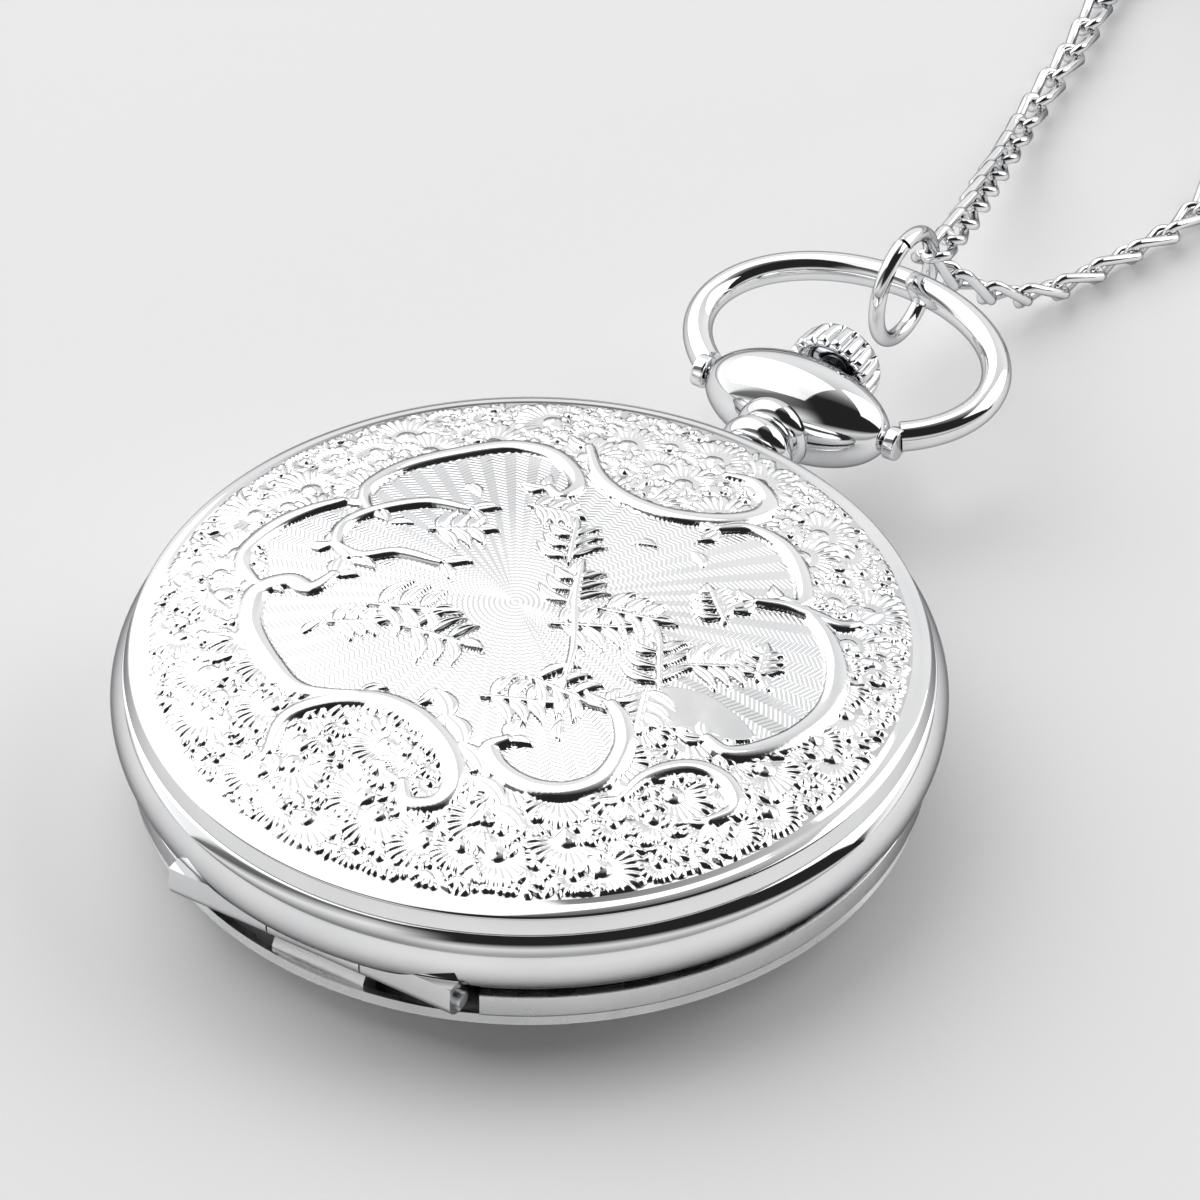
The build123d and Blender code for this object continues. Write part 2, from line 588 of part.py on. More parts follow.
with BuildPart() as click_spring:
    with BuildSketch(Plane.XY.offset(10.1)):
        with BuildLine():
            CenterArc(CLICK, 1.05, 60, 180)
            CenterArc(CLICK, 1.2, 60, 180)
            for end_angle in (60, 240):
                Line(around(CLICK, 1.05, end_angle), around(CLICK, 1.2, end_angle))
        make_face()
    extrude(amount=0.2)
finish(click_spring.part, "click_spring")

with BuildPart() as centre_wheel:
    teeth(CENTRE, CENTRE_TEETH, centre_module, bearing(CENTRE, THIRD), 8.45, 8.65)
    cross_out(CENTRE, 1.6, 5.5, 5, 0.7, 8.4, 8.7)
    teeth(CENTRE, CENTRE_LEAVES, barrel_module, gap_phase(CENTRE, BARREL, CENTRE_LEAVES), 7.85, 8.45, 1.1)
    disc(CENTRE, 0.55, 7.72, 9.3)
    disc(CENTRE, PIVOT_R, 9.3, 10.05)
    disc(CENTRE, 0.3, 4.2, 7.8)
finish(centre_wheel.part, "centre_wheel")

with BuildPart() as third_wheel:
    teeth(THIRD, THIRD_TEETH, third_module, bearing(THIRD, FOURTH), 9.1, 9.25)
    cross_out(THIRD, 1.3, 4.4, 5, 0.6, 9.0, 9.3)
    teeth(THIRD, THIRD_LEAVES, centre_module, gap_phase(THIRD, CENTRE, THIRD_LEAVES), 8.35, 8.75, 1.1)
    arbor(THIRD, 0.32, 7.75, 9.38, 7.0, 10.0)
finish(third_wheel.part, "third_wheel")

with BuildPart() as fourth_wheel:
    teeth(FOURTH, FOURTH_TEETH, fourth_module, bearing(FOURTH, ESCAPE), 8.0, 8.15)
    cross_out(FOURTH, 1.2, 4.2, 5, 0.55, 7.9, 8.2)
    teeth(FOURTH, FOURTH_LEAVES, third_module, gap_phase(FOURTH, THIRD, FOURTH_LEAVES), 9.0, 9.35, 1.1)
    disc(FOURTH, 0.3, 7.75, 9.4)
    disc(FOURTH, PIVOT_R, 9.4, 10.0)
    disc(FOURTH, 0.2, 4.6, 7.8)
finish(fourth_wheel.part, "fourth_wheel")

ESCAPE_TIP_R = 3.0
with BuildPart() as escape_wheel:
    club_teeth = []
    for tooth in range(ESCAPE_TEETH):
        start = tooth * 360 / ESCAPE_TEETH
        club_teeth.append(around(ESCAPE, 2.3, start))
        club_teeth.append(around(ESCAPE, ESCAPE_TIP_R, start + 7))
        club_teeth.append(around(ESCAPE, ESCAPE_TIP_R - 0.08, start + 10))
        club_teeth.append(around(ESCAPE, 2.3, start + 8))
    with BuildSketch(Plane.XY.offset(8.5)):
        with BuildLine():
            Polyline(*club_teeth, close=True)
        make_face()
    extrude(amount=0.15)
    cross_out(ESCAPE, 0.8, 2.0, 4, 0.35, 8.4, 8.7)
    teeth(ESCAPE, ESCAPE_LEAVES, fourth_module, gap_phase(ESCAPE, FOURTH, ESCAPE_LEAVES), 7.9, 8.25, 1.1)
    arbor(ESCAPE, 0.26, 7.75, 9.4, 7.0, 10.0)
finish(escape_wheel.part, "escape_wheel")

with BuildPart() as pallet_fork:
    along = bearing(ESCAPE, BALANCE)
    with BuildSketch(Plane.XY.offset(8.5)):
        for side in (-1, 1):
            stone = around(ESCAPE, ESCAPE_TIP_R + 0.42, along + side * 30)
            with BuildLine():
                arm_end = toward(stone, PALLET, -0.1)
                heading = radians(bearing(PALLET, arm_end) + 90)
                half = (0.2 * cos(heading), 0.2 * sin(heading))
                Polyline(
                    (PALLET[0] + half[0], PALLET[1] + half[1]),
                    (arm_end[0] + half[0], arm_end[1] + half[1]),
                    (arm_end[0] - half[0], arm_end[1] - half[1]),
                    (PALLET[0] - half[0], PALLET[1] - half[1]),
                    close=True,
                )
            make_face()
        with Locations(PALLET):
            Circle(0.55)
        lever_length = distance(PALLET, BALANCE) - 1.0
        with Locations(toward(PALLET, BALANCE, lever_length / 2)):
            Rectangle(lever_length, 0.35, rotation=along)
        with Locations(toward(PALLET, BALANCE, lever_length)):
            Rectangle(0.6, 1.1, rotation=along)
        with Locations(toward(PALLET, BALANCE, lever_length + 0.1)):
            Rectangle(0.45, 0.35, rotation=along, mode=Mode.SUBTRACT)
    extrude(amount=0.16)
    arbor(PALLET, 0.24, 7.75, 9.4, 7.0, 10.0)
finish(pallet_fork.part, "pallet_fork")

BALANCE_R = 4.3
with BuildPart() as balance_wheel:
    ring(BALANCE, BALANCE_R - 0.45, BALANCE_R, 8.9, 9.25)
    with BuildSketch(Plane.XY.offset(8.98)):
        with Locations(BALANCE):
            with PolarLocations(0, 3):
                Rectangle(BALANCE_R - 0.2, 0.5, align=(Align.MIN, Align.CENTER))
            Circle(0.7)
    extrude(amount=0.18)
    for screw in range(12):
        spot_angle = screw * 30 + 15
        rim_point = around(BALANCE, BALANCE_R - 0.1, spot_angle)
        outward = (*around(CENTRE, 1, spot_angle), 0)
        with BuildSketch(Plane(origin=(*rim_point, 9.07), z_dir=outward)):
            Circle(0.15)
        extrude(amount=0.32)
    disc(BALANCE, 0.75, 8.7, 8.86)
    arbor(BALANCE, 0.3, 7.75, 9.6, 7.0, 10.0)
finish(balance_wheel.part, "balance_wheel")

with BuildPart() as hairspring:
    spiral(BALANCE, 0.62, 2.6, 8, 0.05, 9.36, 9.5)
finish(hairspring.part, "hairspring")

# ---- motion works, dial and hands ---------------------------------------------------------
cannon_module = 2 * distance(CENTRE, MINUTE) / (CANNON_TEETH + MINUTE_TEETH)
hour_module = 2 * distance(CENTRE, MINUTE) / (MINUTE_LEAVES + HOUR_TEETH)
DIAL_R = 18.8
HOUR_Z, MINUTE_Z, SECONDS_Z = 4.35, 3.95, 4.7  # lower face of each hand

with BuildPart() as cannon_pinion:
    teeth(CENTRE, CANNON_TEETH, cannon_module, bearing(CENTRE, MINUTE), 5.84, 6.14, 1.1)
    disc(CENTRE, 0.5, 3.9, 5.84)
    disc(CENTRE, 0.3, 4.2, 6.2, Mode.SUBTRACT)
finish(cannon_pinion.part, "cannon_pinion")

with BuildPart() as minute_wheel:
    teeth(MINUTE, MINUTE_TEETH, cannon_module, gap_phase(MINUTE, CENTRE, MINUTE_TEETH), 5.86, 6.1)
    teeth(MINUTE, MINUTE_LEAVES, hour_module, bearing(MINUTE, CENTRE), 5.42, 5.86, 1.1)
    disc(MINUTE, 0.34, 5, 6.5, Mode.SUBTRACT)
finish(minute_wheel.part, "minute_wheel")

with BuildPart() as hour_wheel:
    teeth(CENTRE, HOUR_TEETH, hour_module, gap_phase(CENTRE, MINUTE, HOUR_TEETH), 5.45, 5.62)
    disc(CENTRE, 0.8, 4.3, 5.62)
    disc(CENTRE, 0.53, 4, 6, Mode.SUBTRACT)
finish(hour_wheel.part, "hour_wheel")

with BuildPart() as dial:
    disc(CENTRE, DIAL_R, 5.0, 5.3)
    disc(CENTRE, 0.9, 4, 6, Mode.SUBTRACT)
    disc(FOURTH, 0.35, 4, 6, Mode.SUBTRACT)
    disc(FOURTH, 3.6, 4.9, 5.08, Mode.SUBTRACT)
finish(dial.part, "dial")


def hand(centre, length, width, tail, bore, hub, low, heading):
    """A leaf-shaped hand with its hub, pointing at a plan angle in degrees."""
    tip = around(centre, length, heading)
    back = around(centre, tail, heading + 180)
    wide = around(centre, length * 0.4, heading)
    left = around(wide, width, heading + 90)
    right = around(wide, width, heading - 90)
    with BuildSketch(Plane.XY.offset(low)) as outline:
        with BuildLine():
            Polyline(back, left, tip, right, close=True)
        make_face()
        with Locations(centre):
            Circle(hub)
            if bore:
                Circle(bore, mode=Mode.SUBTRACT)
    extrude(outline.sketch, amount=0.12)


with BuildPart() as hour_hand:
    hand(CENTRE, 9.5, 0.75, 1.6, 0.8, 1.3, HOUR_Z, 146)
finish(hour_hand.part, "hour_hand")

with BuildPart() as minute_hand:
    hand(CENTRE, 14.5, 0.6, 2.4, 0.5, 1.0, MINUTE_Z, 38)
finish(minute_hand.part, "minute_hand")

with BuildPart() as seconds_hand:
    hand(FOURTH, 3.0, 0.12, 1.0, 0.2, 0.4, SECONDS_Z, 215)
finish(seconds_hand.part, "seconds_hand")

# ---- winding and setting work -------------------------------------------------------------
PINION_Y = (11.95, 13.45)
CLUTCH_Y = (9.9, 11.75)
GROOVE_Y = (14.6, 15.0)

with BuildPart() as winding_stem:
    rod_y(STEM_R, 8.2, 34.95)
    with BuildSketch(Plane(origin=(0, GROOVE_Y[0], STEM_Z), x_dir=(1, 0, 0), z_dir=(0, 1, 0))):
        Circle(STEM_R + 0.1)
        Circle(0.4, mode=Mode.SUBTRACT)
    extrude(amount=GROOVE_Y[1] - GROOVE_Y[0], mode=Mode.SUBTRACT)
finish(winding_stem.part, "winding_stem")


def side_teeth(count, outer, inner, start, end):
    """Teeth standing on the end of a sleeve round the stem."""
    with BuildSketch(Plane(origin=(0, start, STEM_Z), x_dir=(1, 0, 0), z_dir=(0, 1, 0))) as outline:
        Circle(outer)
        with PolarLocations(outer, count):
            Rectangle(0.42, 0.34, mode=Mode.SUBTRACT)
        Circle(inner, mode=Mode.SUBTRACT)
    extrude(outline.sketch, amount=end - start)


with BuildPart() as winding_pinion:
    side_teeth(12, 1.44, STEM_R + 0.04, *PINION_Y)
finish(winding_pinion.part, "winding_pinion")

with BuildPart() as sliding_clutch:
    side_teeth(10, 1.25, STEM_R + 0.02, CLUTCH_Y[0], 10.5)
    rod_y(0.95, 10.5, 11.1)
    side_teeth(10, 1.25, STEM_R + 0.02, 11.1, CLUTCH_Y[1])
    rod_y(STEM_R + 0.02, 9.0, 12.0, Mode.SUBTRACT)
finish(sliding_clutch.part, "sliding_clutch")


def flat_lever(pivot, ends, width, low, high):
    """A flat lever: straight arms from its pivot to each end."""
    for end in ends:
        with BuildSketch(Plane.XY.offset(low)) as outline:
            with Locations(pivot):
                Circle(0.8)
            with Locations(end):
                Circle(width / 2)
            make_hull()
        extrude(outline.sketch, amount=high - low)
    disc(pivot, 0.38, low - 1, high + 1, Mode.SUBTRACT)


with BuildPart() as setting_lever:
    flat_lever(SETTING_LEVER, [(-0.3, 14.8), (-6.2, 12.9)], 0.6, 5.7, 5.95)
finish(setting_lever.part, "setting_lever")

with BuildPart() as yoke:
    flat_lever(YOKE, [(-1.3, 9.3)], 0.6, 5.7, 5.95)
finish(yoke.part, "yoke")

# ---- chain --------------------------------------------------------------------------------
CHAIN_R = 1.05
STRAND_ONE = [
    (0.2, 47.45, 8.0), (-0.7, 52.0, 6.8), (-2.6, 57.9, 4.9), (-4.6, 65.0, 2.5), (-6.1, 70.6, 1.2),
    (-6.8, 75.3, 1.1), (-7.2, 79.2, 1.1), (-8.0, 83.0, 1.1), (-8.7, 86.8, 1.1), (-8.4, 90.6, 1.1),
    (-6.4, 94.0, 1.1), (-3.0, 96.6, 1.1), (-0.4, 99.4, 1.1),
]
STRAND_TWO = [
    (0.7, 47.0, 6.4), (1.6, 48.2, 4.9), (2.6, 50.6, 3.1), (3.9, 53.6, 1.7), (5.0, 57.1, 1.1),
    (6.1, 60.5, 1.1), (7.3, 63.8, 1.1), (7.9, 67.3, 1.1), (7.5, 71.0, 1.1), (7.2, 74.8, 1.1),
    (7.9, 78.6, 1.1), (9.7, 82.0, 1.1), (12.6, 84.8, 1.1), (15.6, 86.2, 1.1),
]
COIL_CENTRE = (14.0, 100.0)
COIL_MEAN_R = 12.5
COIL_SECTION_R = 3.2


def corner_radii(route):
    """The arc at each inner point: as large as its two runs allow."""
    found = []
    points = [Vector(*point) for point in route]
    for before, here, after in zip(points, points[1:], points[2:]):
        turn = radians((here - before).get_angle(after - here))
        shorter = min((here - before).length, (after - here).length)
        found.append(0.45 * shorter / tan(turn / 2))
    return found


def chain_tube(route, name):
    """The outer shape of one laid stretch of chain."""
    radii = corner_radii(route)
    print(name, "radii", [round(radius, 1) for radius in radii])
    with BuildPart() as tube:
        with BuildLine() as centreline:
            FilletPolyline(*route, radius=radii)
        with BuildSketch(centreline.line ^ 0):
            Circle(CHAIN_R)
        sweep()
    length = centreline.line.wires()[0].length
    volume_ratio = tube.part.volume / length / pi / CHAIN_R**2
    print(name, "length", round(length, 1), "volume ratio", round(volume_ratio, 4))
    return tube


chain_strand_1 = chain_tube(STRAND_ONE, "chain_strand_1")
finish(chain_strand_1.part, "chain_strand_1")
chain_strand_2 = chain_tube(STRAND_TWO, "chain_strand_2")
finish(chain_strand_2.part, "chain_strand_2")

with BuildPart() as chain_coil:
    with BuildSketch(Plane(origin=(*COIL_CENTRE, 0), x_dir=(1, 0, 0), z_dir=(0, -1, 0))):
        with Locations((COIL_MEAN_R, COIL_SECTION_R)):
            Circle(COIL_SECTION_R)
    revolve(axis=Axis((*COIL_CENTRE, 0), (0, 0, 1)))
finish(chain_coil.part, "chain_coil")
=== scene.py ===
"""Looks for the hunter pocket watch: embossed chrome case, pendant, bow, chain, dial and movement.

Metres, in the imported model's frame: +Z up through the back cover, +Y out through the crown.
Outlines below are written in millimetres and scaled once by MM where a mesh is made.
"""
from math import atan2, cos, degrees, hypot, pi, radians, sin, sqrt
from random import Random

import bpy
import numpy as np
from mathutils import Matrix, Vector


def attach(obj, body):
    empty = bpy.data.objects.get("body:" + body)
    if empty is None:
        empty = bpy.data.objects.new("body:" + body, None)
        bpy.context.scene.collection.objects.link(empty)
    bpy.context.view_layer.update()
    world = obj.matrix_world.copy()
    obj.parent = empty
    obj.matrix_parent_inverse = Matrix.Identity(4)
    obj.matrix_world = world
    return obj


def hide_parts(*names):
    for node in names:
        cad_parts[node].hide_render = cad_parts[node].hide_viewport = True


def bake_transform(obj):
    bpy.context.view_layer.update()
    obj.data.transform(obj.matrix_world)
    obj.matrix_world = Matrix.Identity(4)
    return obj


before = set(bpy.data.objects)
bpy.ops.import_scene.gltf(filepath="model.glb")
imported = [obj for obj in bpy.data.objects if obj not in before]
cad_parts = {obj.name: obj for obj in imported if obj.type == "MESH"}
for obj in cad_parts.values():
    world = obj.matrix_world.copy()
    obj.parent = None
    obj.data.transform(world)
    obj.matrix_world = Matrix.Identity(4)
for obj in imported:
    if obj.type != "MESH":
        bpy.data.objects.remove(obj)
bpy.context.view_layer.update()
MM = 0.001

# ---- case dimensions, in millimetres ------------------------------------------------------
BEAD_R, BEAD_Z = 23.5, 6.73
SEAM_R, SEAM_Z = 22.65, 9.05
COVER_EDGE_R = 21.96
DOME_EDGE_R, DOME_EDGE_Z, DOME_TOP_Z = 21.35, 10.36, 12.3
SHELL = 0.38  # thickness of the cover and lid sheet
HINGE_Y, HINGE_Z, KNUCKLE_R = -21.45, 4.75, 0.95
STEM_Z = 6.9
BALL_Y, BALL_HALF_X, BALL_R = 29.9, 6.1, 3.15
PIVOT_Y = 30.0
BOW_HALF_X, BOW_HALF_Y, BOW_CENTRE_Y, BOW_TILT, BOW_WIRE_R = 9.51, 7.03, 35.76, 5.1, 0.9
RING_R, RING_WIRE_R, RING_CENTRE = 3.38, 0.5, (0.0, 42.8, 7.7)
FOURTH = (0.0, -9.0)


# ---- small geometry helpers ---------------------------------------------------------------
def mesh_piece(name, points, faces, material, body=None, smooth=40):
    """A mesh object from points in millimetres, smooth-shaded except at sharp edges."""
    mesh = bpy.data.meshes.new(name)
    mesh.from_pydata([tuple(p) for p in np.asarray(points, float) * MM], [], faces)
    mesh.update()
    mesh.shade_smooth()
    mesh.set_sharp_from_angle(angle=radians(smooth))
    piece = bpy.data.objects.new(name, mesh)
    bpy.context.scene.collection.objects.link(piece)
    mesh.materials.append(material)
    if body:
        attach(piece, body)
    return piece


def joined(name, parts, material, body=None, smooth=40):
    """One piece from several (points, faces) lists."""
    points, faces = [], []
    for part_points, part_faces in parts:
        offset = len(points)
        points.extend(part_points)
        faces.extend([tuple(i + offset for i in face) for face in part_faces])
    return mesh_piece(name, points, faces, material, body, smooth)


def rounded(outline, radius, steps=4, closed=True):
    """The outline with its corners rounded."""
    count = len(outline)
    result = []
    for i, here in enumerate(outline):
        if not closed and i in (0, count - 1):
            result.append(here)
            continue
        here = Vector(here)
        before, after = Vector(outline[i - 1]), Vector(outline[(i + 1) % count])
        start = here + (before - here).normalized() * min(radius, (before - here).length * 0.45)
        end = here + (after - here).normalized() * min(radius, (after - here).length * 0.45)
        for step in range(steps + 1):
            t = step / steps
            result.append(tuple(start * (1 - t) ** 2 + here * 2 * t * (1 - t) + end * t * t))
    return result


def arc(start, middle, end, steps):
    """Points on the circle through three points."""
    (ax, ay), (bx, by), (cx, cy) = start, middle, end
    d = 2 * (ax * (by - cy) + bx * (cy - ay) + cx * (ay - by))
    ux = ((ax**2 + ay**2) * (by - cy) + (bx**2 + by**2) * (cy - ay) + (cx**2 + cy**2) * (ay - by)) / d
    uy = ((ax**2 + ay**2) * (cx - bx) + (bx**2 + by**2) * (ax - cx) + (cx**2 + cy**2) * (bx - ax)) / d
    radius = hypot(ax - ux, ay - uy)
    first, last = atan2(ay - uy, ax - ux), atan2(cy - uy, cx - ux)
    mid = atan2(by - uy, bx - ux)
    span = (last - first) % (2 * pi)
    if (mid - first) % (2 * pi) > span:
        span -= 2 * pi
    return [(ux + radius * cos(first + span * i / steps), uy + radius * sin(first + span * i / steps))
            for i in range(steps + 1)]


def lathe(outline, segments=256, closed=True, start=0.0, sweep=360.0):
    """Turns an outline of (radius, height) about the vertical axis; part turns get end caps."""
    full = abs(sweep - 360.0) < 1e-6
    turns = segments if full else segments + 1
    count = len(outline)
    points, faces = [], []
    for i in range(turns):
        angle = radians(start + sweep * i / segments)
        points.extend((r * cos(angle), r * sin(angle), z) for r, z in outline)
    for i in range(segments):
        ring, following = i * count, ((i + 1) % turns) * count
        for j in range(count if closed else count - 1):
            k = (j + 1) % count
            faces.append((ring + j, following + j, following + k, ring + k))
    if not full and closed:
        faces.append(tuple(range(count)))
        faces.append(tuple(reversed(range((turns - 1) * count, turns * count))))
    return points, faces


def about_y(part, z=STEM_Z):
    """Lays a lathed part along the stem axis: its height runs along +Y."""
    points, faces = part
    return [(-x, h, z + y) for x, y, h in points], faces


def about_x(part, y, z=STEM_Z):
    """Lays a lathed part along X."""
    points, faces = part
    return [(h, y + px, z + py) for px, py, h in points], faces


def swept(path, radius, sides=24, closed=False):
    """A round wire along a list of points."""
    path = np.asarray(path, float)
    count = len(path)
    after, before = np.roll(path, -1, 0), np.roll(path, 1, 0)
    tangent = after - before
    if not closed:
        tangent[0], tangent[-1] = path[1] - path[0], path[-1] - path[-2]
    tangent /= np.linalg.norm(tangent, axis=1)[:, None]
    normal = np.zeros_like(path)
    seed = np.array([0, 0, 1.0]) if abs(tangent[0][2]) < 0.9 else np.array([1.0, 0, 0])
    normal[0] = np.cross(tangent[0], seed)
    for i in range(1, count):
        normal[i] = normal[i - 1] - tangent[i] * (normal[i - 1] @ tangent[i])
        normal[i] /= np.linalg.norm(normal[i])
    normal[0] /= np.linalg.norm(normal[0])
    side = np.cross(tangent, normal)
    points, faces = [], []
    for i in range(count):
        for s in range(sides):
            a = 2 * pi * s / sides
            points.append(path[i] + radius * (cos(a) * normal[i] + sin(a) * side[i]))
    for i in range(count if closed else count - 1):
        for s in range(sides):
            t = (s + 1) % sides
            ring, following = i * sides, ((i + 1) % count) * sides
            faces.append((ring + s, ring + t, following + t, following + s))
    if not closed:
        faces.append(tuple(reversed(range(sides))))
        faces.append(tuple(range((count - 1) * sides, count * sides)))
    return points, faces


# ---- materials ----------------------------------------------------------------------------
def new_material(name, base, metallic, roughness):
    """A material with its node tree and shader."""
    material = bpy.data.materials.new(name)
    material.use_nodes = True
    tree = material.node_tree
    shader = tree.nodes["Principled BSDF"]
    shader.inputs["Base Color"].default_value = (*base, 1)
    shader.inputs["Metallic"].default_value = metallic
    shader.inputs["Roughness"].default_value = roughness
    return material, tree, shader


def node(tree, kind, inputs=None, **settings):
    """A node with its settings and input values or links."""
    made = tree.nodes.new(kind)
    for key, value in settings.items():
        setattr(made, key, value)
    for key, value in (inputs or {}).items():
        if isinstance(value, bpy.types.NodeSocket):
            tree.links.new(value, made.inputs[key])
        else:
            made.inputs[key].default_value = value
    return made


def object_noise(tree, scale, detail=3.0, stretch=(1, 1, 1)):
    """Noise in object space, in features per metre."""
    coordinates = node(tree, "ShaderNodeTexCoord")
    mapping = node(tree, "ShaderNodeMapping", {"Vector": coordinates.outputs["Object"], "Scale": stretch})
    made = node(tree, "ShaderNodeTexNoise", {"Vector": mapping.outputs[0], "Scale": scale, "Detail": detail})
    return made.outputs["Fac"]


def spread(tree, value, low, high):
    """A 0-1 value mapped to a range."""
    made = node(tree, "ShaderNodeMapRange", {"Value": value, "From Min": 0.3, "From Max": 0.7,
                                             "To Min": low, "To Max": high})
    return made.outputs[0]


def maths(tree, operation, *values):
    """The result of a Math node."""
    return node(tree, "ShaderNodeMath", dict(enumerate(values)), operation=operation).outputs[0]


def tinted(tree, value, dark, light):
    """A colour between two, by a 0-1 value."""
    ramp = node(tree, "ShaderNodeValToRGB", {"Fac": value})
    ramp.color_ramp.elements[0].position, ramp.color_ramp.elements[1].position = 0.35, 0.65
    ramp.color_ramp.elements[0].color, ramp.color_ramp.elements[1].color = (*dark, 1), (*light, 1)
    return ramp.outputs[0]


def mottled(tree, shader, noise, dark, light):
    """Base colour that wanders between two tones; noise is (scale, detail)."""
    tree.links.new(tinted(tree, object_noise(tree, *noise), dark, light), shader.inputs["Base Color"])


def worn(tree, shader, noise, low, high):
    """Roughness that wanders between two values; noise is (scale, detail)."""
    tree.links.new(spread(tree, object_noise(tree, *noise), low, high), shader.inputs["Roughness"])


def bumped(tree, shader, height, distance, strength=1.0, normal=None):
    """Adds a height to the shader's normal."""
    inputs = {"Height": height, "Distance": distance, "Strength": strength}
    if normal is not None:
        inputs["Normal"] = normal
    made = node(tree, "ShaderNodeBump", inputs)
    tree.links.new(made.outputs[0], shader.inputs["Normal"])
    return made.outputs[0]


EDGE_TINT = (0.3, 0.3, 0.31, 1)  # how dark polished metal turns towards its outline


def metal(name, dark, light, rough, grain=0.0, grain_scale=9000, stretch=(1, 1, 1), scratch=0.0):
    """A metal with tone and polish that vary, fine grain and hairline scratches."""
    material, tree, shader = new_material(name, light, 1.0, rough[0])
    shader.inputs["Specular Tint"].default_value = EDGE_TINT
    mottled(tree, shader, (90, 4), dark, light)
    worn(tree, shader, (420, 5), *rough)
    normal = None
    if grain:
        normal = bumped(tree, shader, object_noise(tree, grain_scale, 2, stretch), grain)
    if scratch:
        hairlines = object_noise(tree, 700, 2, (1, 14, 3))
        bumped(tree, shader, maths(tree, "POWER", hairlines, 9.0), scratch, normal=normal)
    return material


CHROME_DARK, CHROME_LIGHT = (0.84, 0.845, 0.855), (0.93, 0.93, 0.935)
chrome = metal("polished_chrome", CHROME_DARK, CHROME_LIGHT, (0.03, 0.075), scratch=2e-6)
wire_chrome = metal("wire_chrome", CHROME_DARK, CHROME_LIGHT, (0.04, 0.12), scratch=2e-6)
satin = metal("satin_chrome", (0.74, 0.745, 0.75), (0.86, 0.86, 0.865), (0.2, 0.34), 7e-6, 5200, (1, 1, 4),
              3e-6)
steel = metal("grained_steel", (0.52, 0.53, 0.55), (0.66, 0.67, 0.68), (0.22, 0.36), 2e-6, 12000, (1, 9, 1))
blued = metal("blued_steel", (0.015, 0.035, 0.16), (0.04, 0.1, 0.38), (0.1, 0.24), 1e-6, 9000)
gilt = metal("gilt_brass", (0.72, 0.5, 0.2), (0.86, 0.66, 0.33), (0.16, 0.3), 3e-6, 9000)


def striped_nickel():
    """Nickel with broad decorative stripes, as on finished bridges."""
    material, tree, shader = new_material("striped_nickel", (0.74, 0.72, 0.67), 1.0, 0.2)
    coordinates = node(tree, "ShaderNodeTexCoord")
    turned = node(tree, "ShaderNodeMapping", {"Vector": coordinates.outputs["Object"],
                                              "Rotation": (0, 0, radians(35))})
    stripes = node(tree, "ShaderNodeTexWave", {"Vector": turned.outputs[0], "Scale": 95.0, "Distortion": 0.4,
                                               "Detail": 1.0}, wave_profile="SAW")
    tree.links.new(spread(tree, stripes.outputs["Fac"], 0.14, 0.36), shader.inputs["Roughness"])
    tone = tinted(tree, stripes.outputs["Fac"], (0.66, 0.64, 0.6), (0.8, 0.78, 0.73))
    tree.links.new(tone, shader.inputs["Base Color"])
    fine = bumped(tree, shader, object_noise(tree, 6000, 2, (1, 8, 1)), 2e-6)
    bumped(tree, shader, stripes.outputs["Fac"], 1.2e-5, normal=fine)
    return material


def enamel():
    """White dial enamel, faintly mottled."""
    material, tree, shader = new_material("dial_enamel", (0.9, 0.89, 0.85), 0.0, 0.22)
    mottled(tree, shader, (260, 5), (0.86, 0.85, 0.8), (0.93, 0.92, 0.885))
    worn(tree, shader, (900, 3), 0.16, 0.3)
    bumped(tree, shader, object_noise(tree, 700, 3), 4e-6)
    return material


def ink():
    """Printed dial black."""
    material, tree, shader = new_material("dial_ink", (0.02, 0.02, 0.022), 0.0, 0.4)
    mottled(tree, shader, (3000, 3), (0.012, 0.012, 0.014), (0.04, 0.04, 0.045))
    bumped(tree, shader, object_noise(tree, 9000, 2), 3e-6)
    return material


def glass():
    """Clear mineral glass with faint smears."""
    material, tree, shader = new_material("crystal_glass", (0.97, 0.985, 0.99), 0.0, 0.02)
    shader.inputs["Transmission Weight"].default_value = 1.0
    shader.inputs["IOR"].default_value = 1.45
    worn(tree, shader, (130, 4), 0.0, 0.06)
    bumped(tree, shader, object_noise(tree, 240, 2), 2e-6)
    return material


def dull(name, dark, light, rough):
    """Rubber or moulded resin."""
    material, tree, shader = new_material(name, light, 0.0, rough)
    mottled(tree, shader, (700, 4), dark, light)
    worn(tree, shader, (1500, 3), rough - 0.1, rough + 0.12)
    bumped(tree, shader, object_noise(tree, 6000, 3), 1e-5)
    return material


def ruby():
    """Synthetic ruby for the bearings."""
    material, tree, shader = new_material("bearing_ruby", (0.5, 0.01, 0.06), 0.0, 0.06)
    shader.inputs["Transmission Weight"].default_value = 0.35
    mottled(tree, shader, (1800, 3), (0.34, 0.004, 0.03), (0.62, 0.02, 0.1))
    worn(tree, shader, (2500, 3), 0.03, 0.14)
    return material


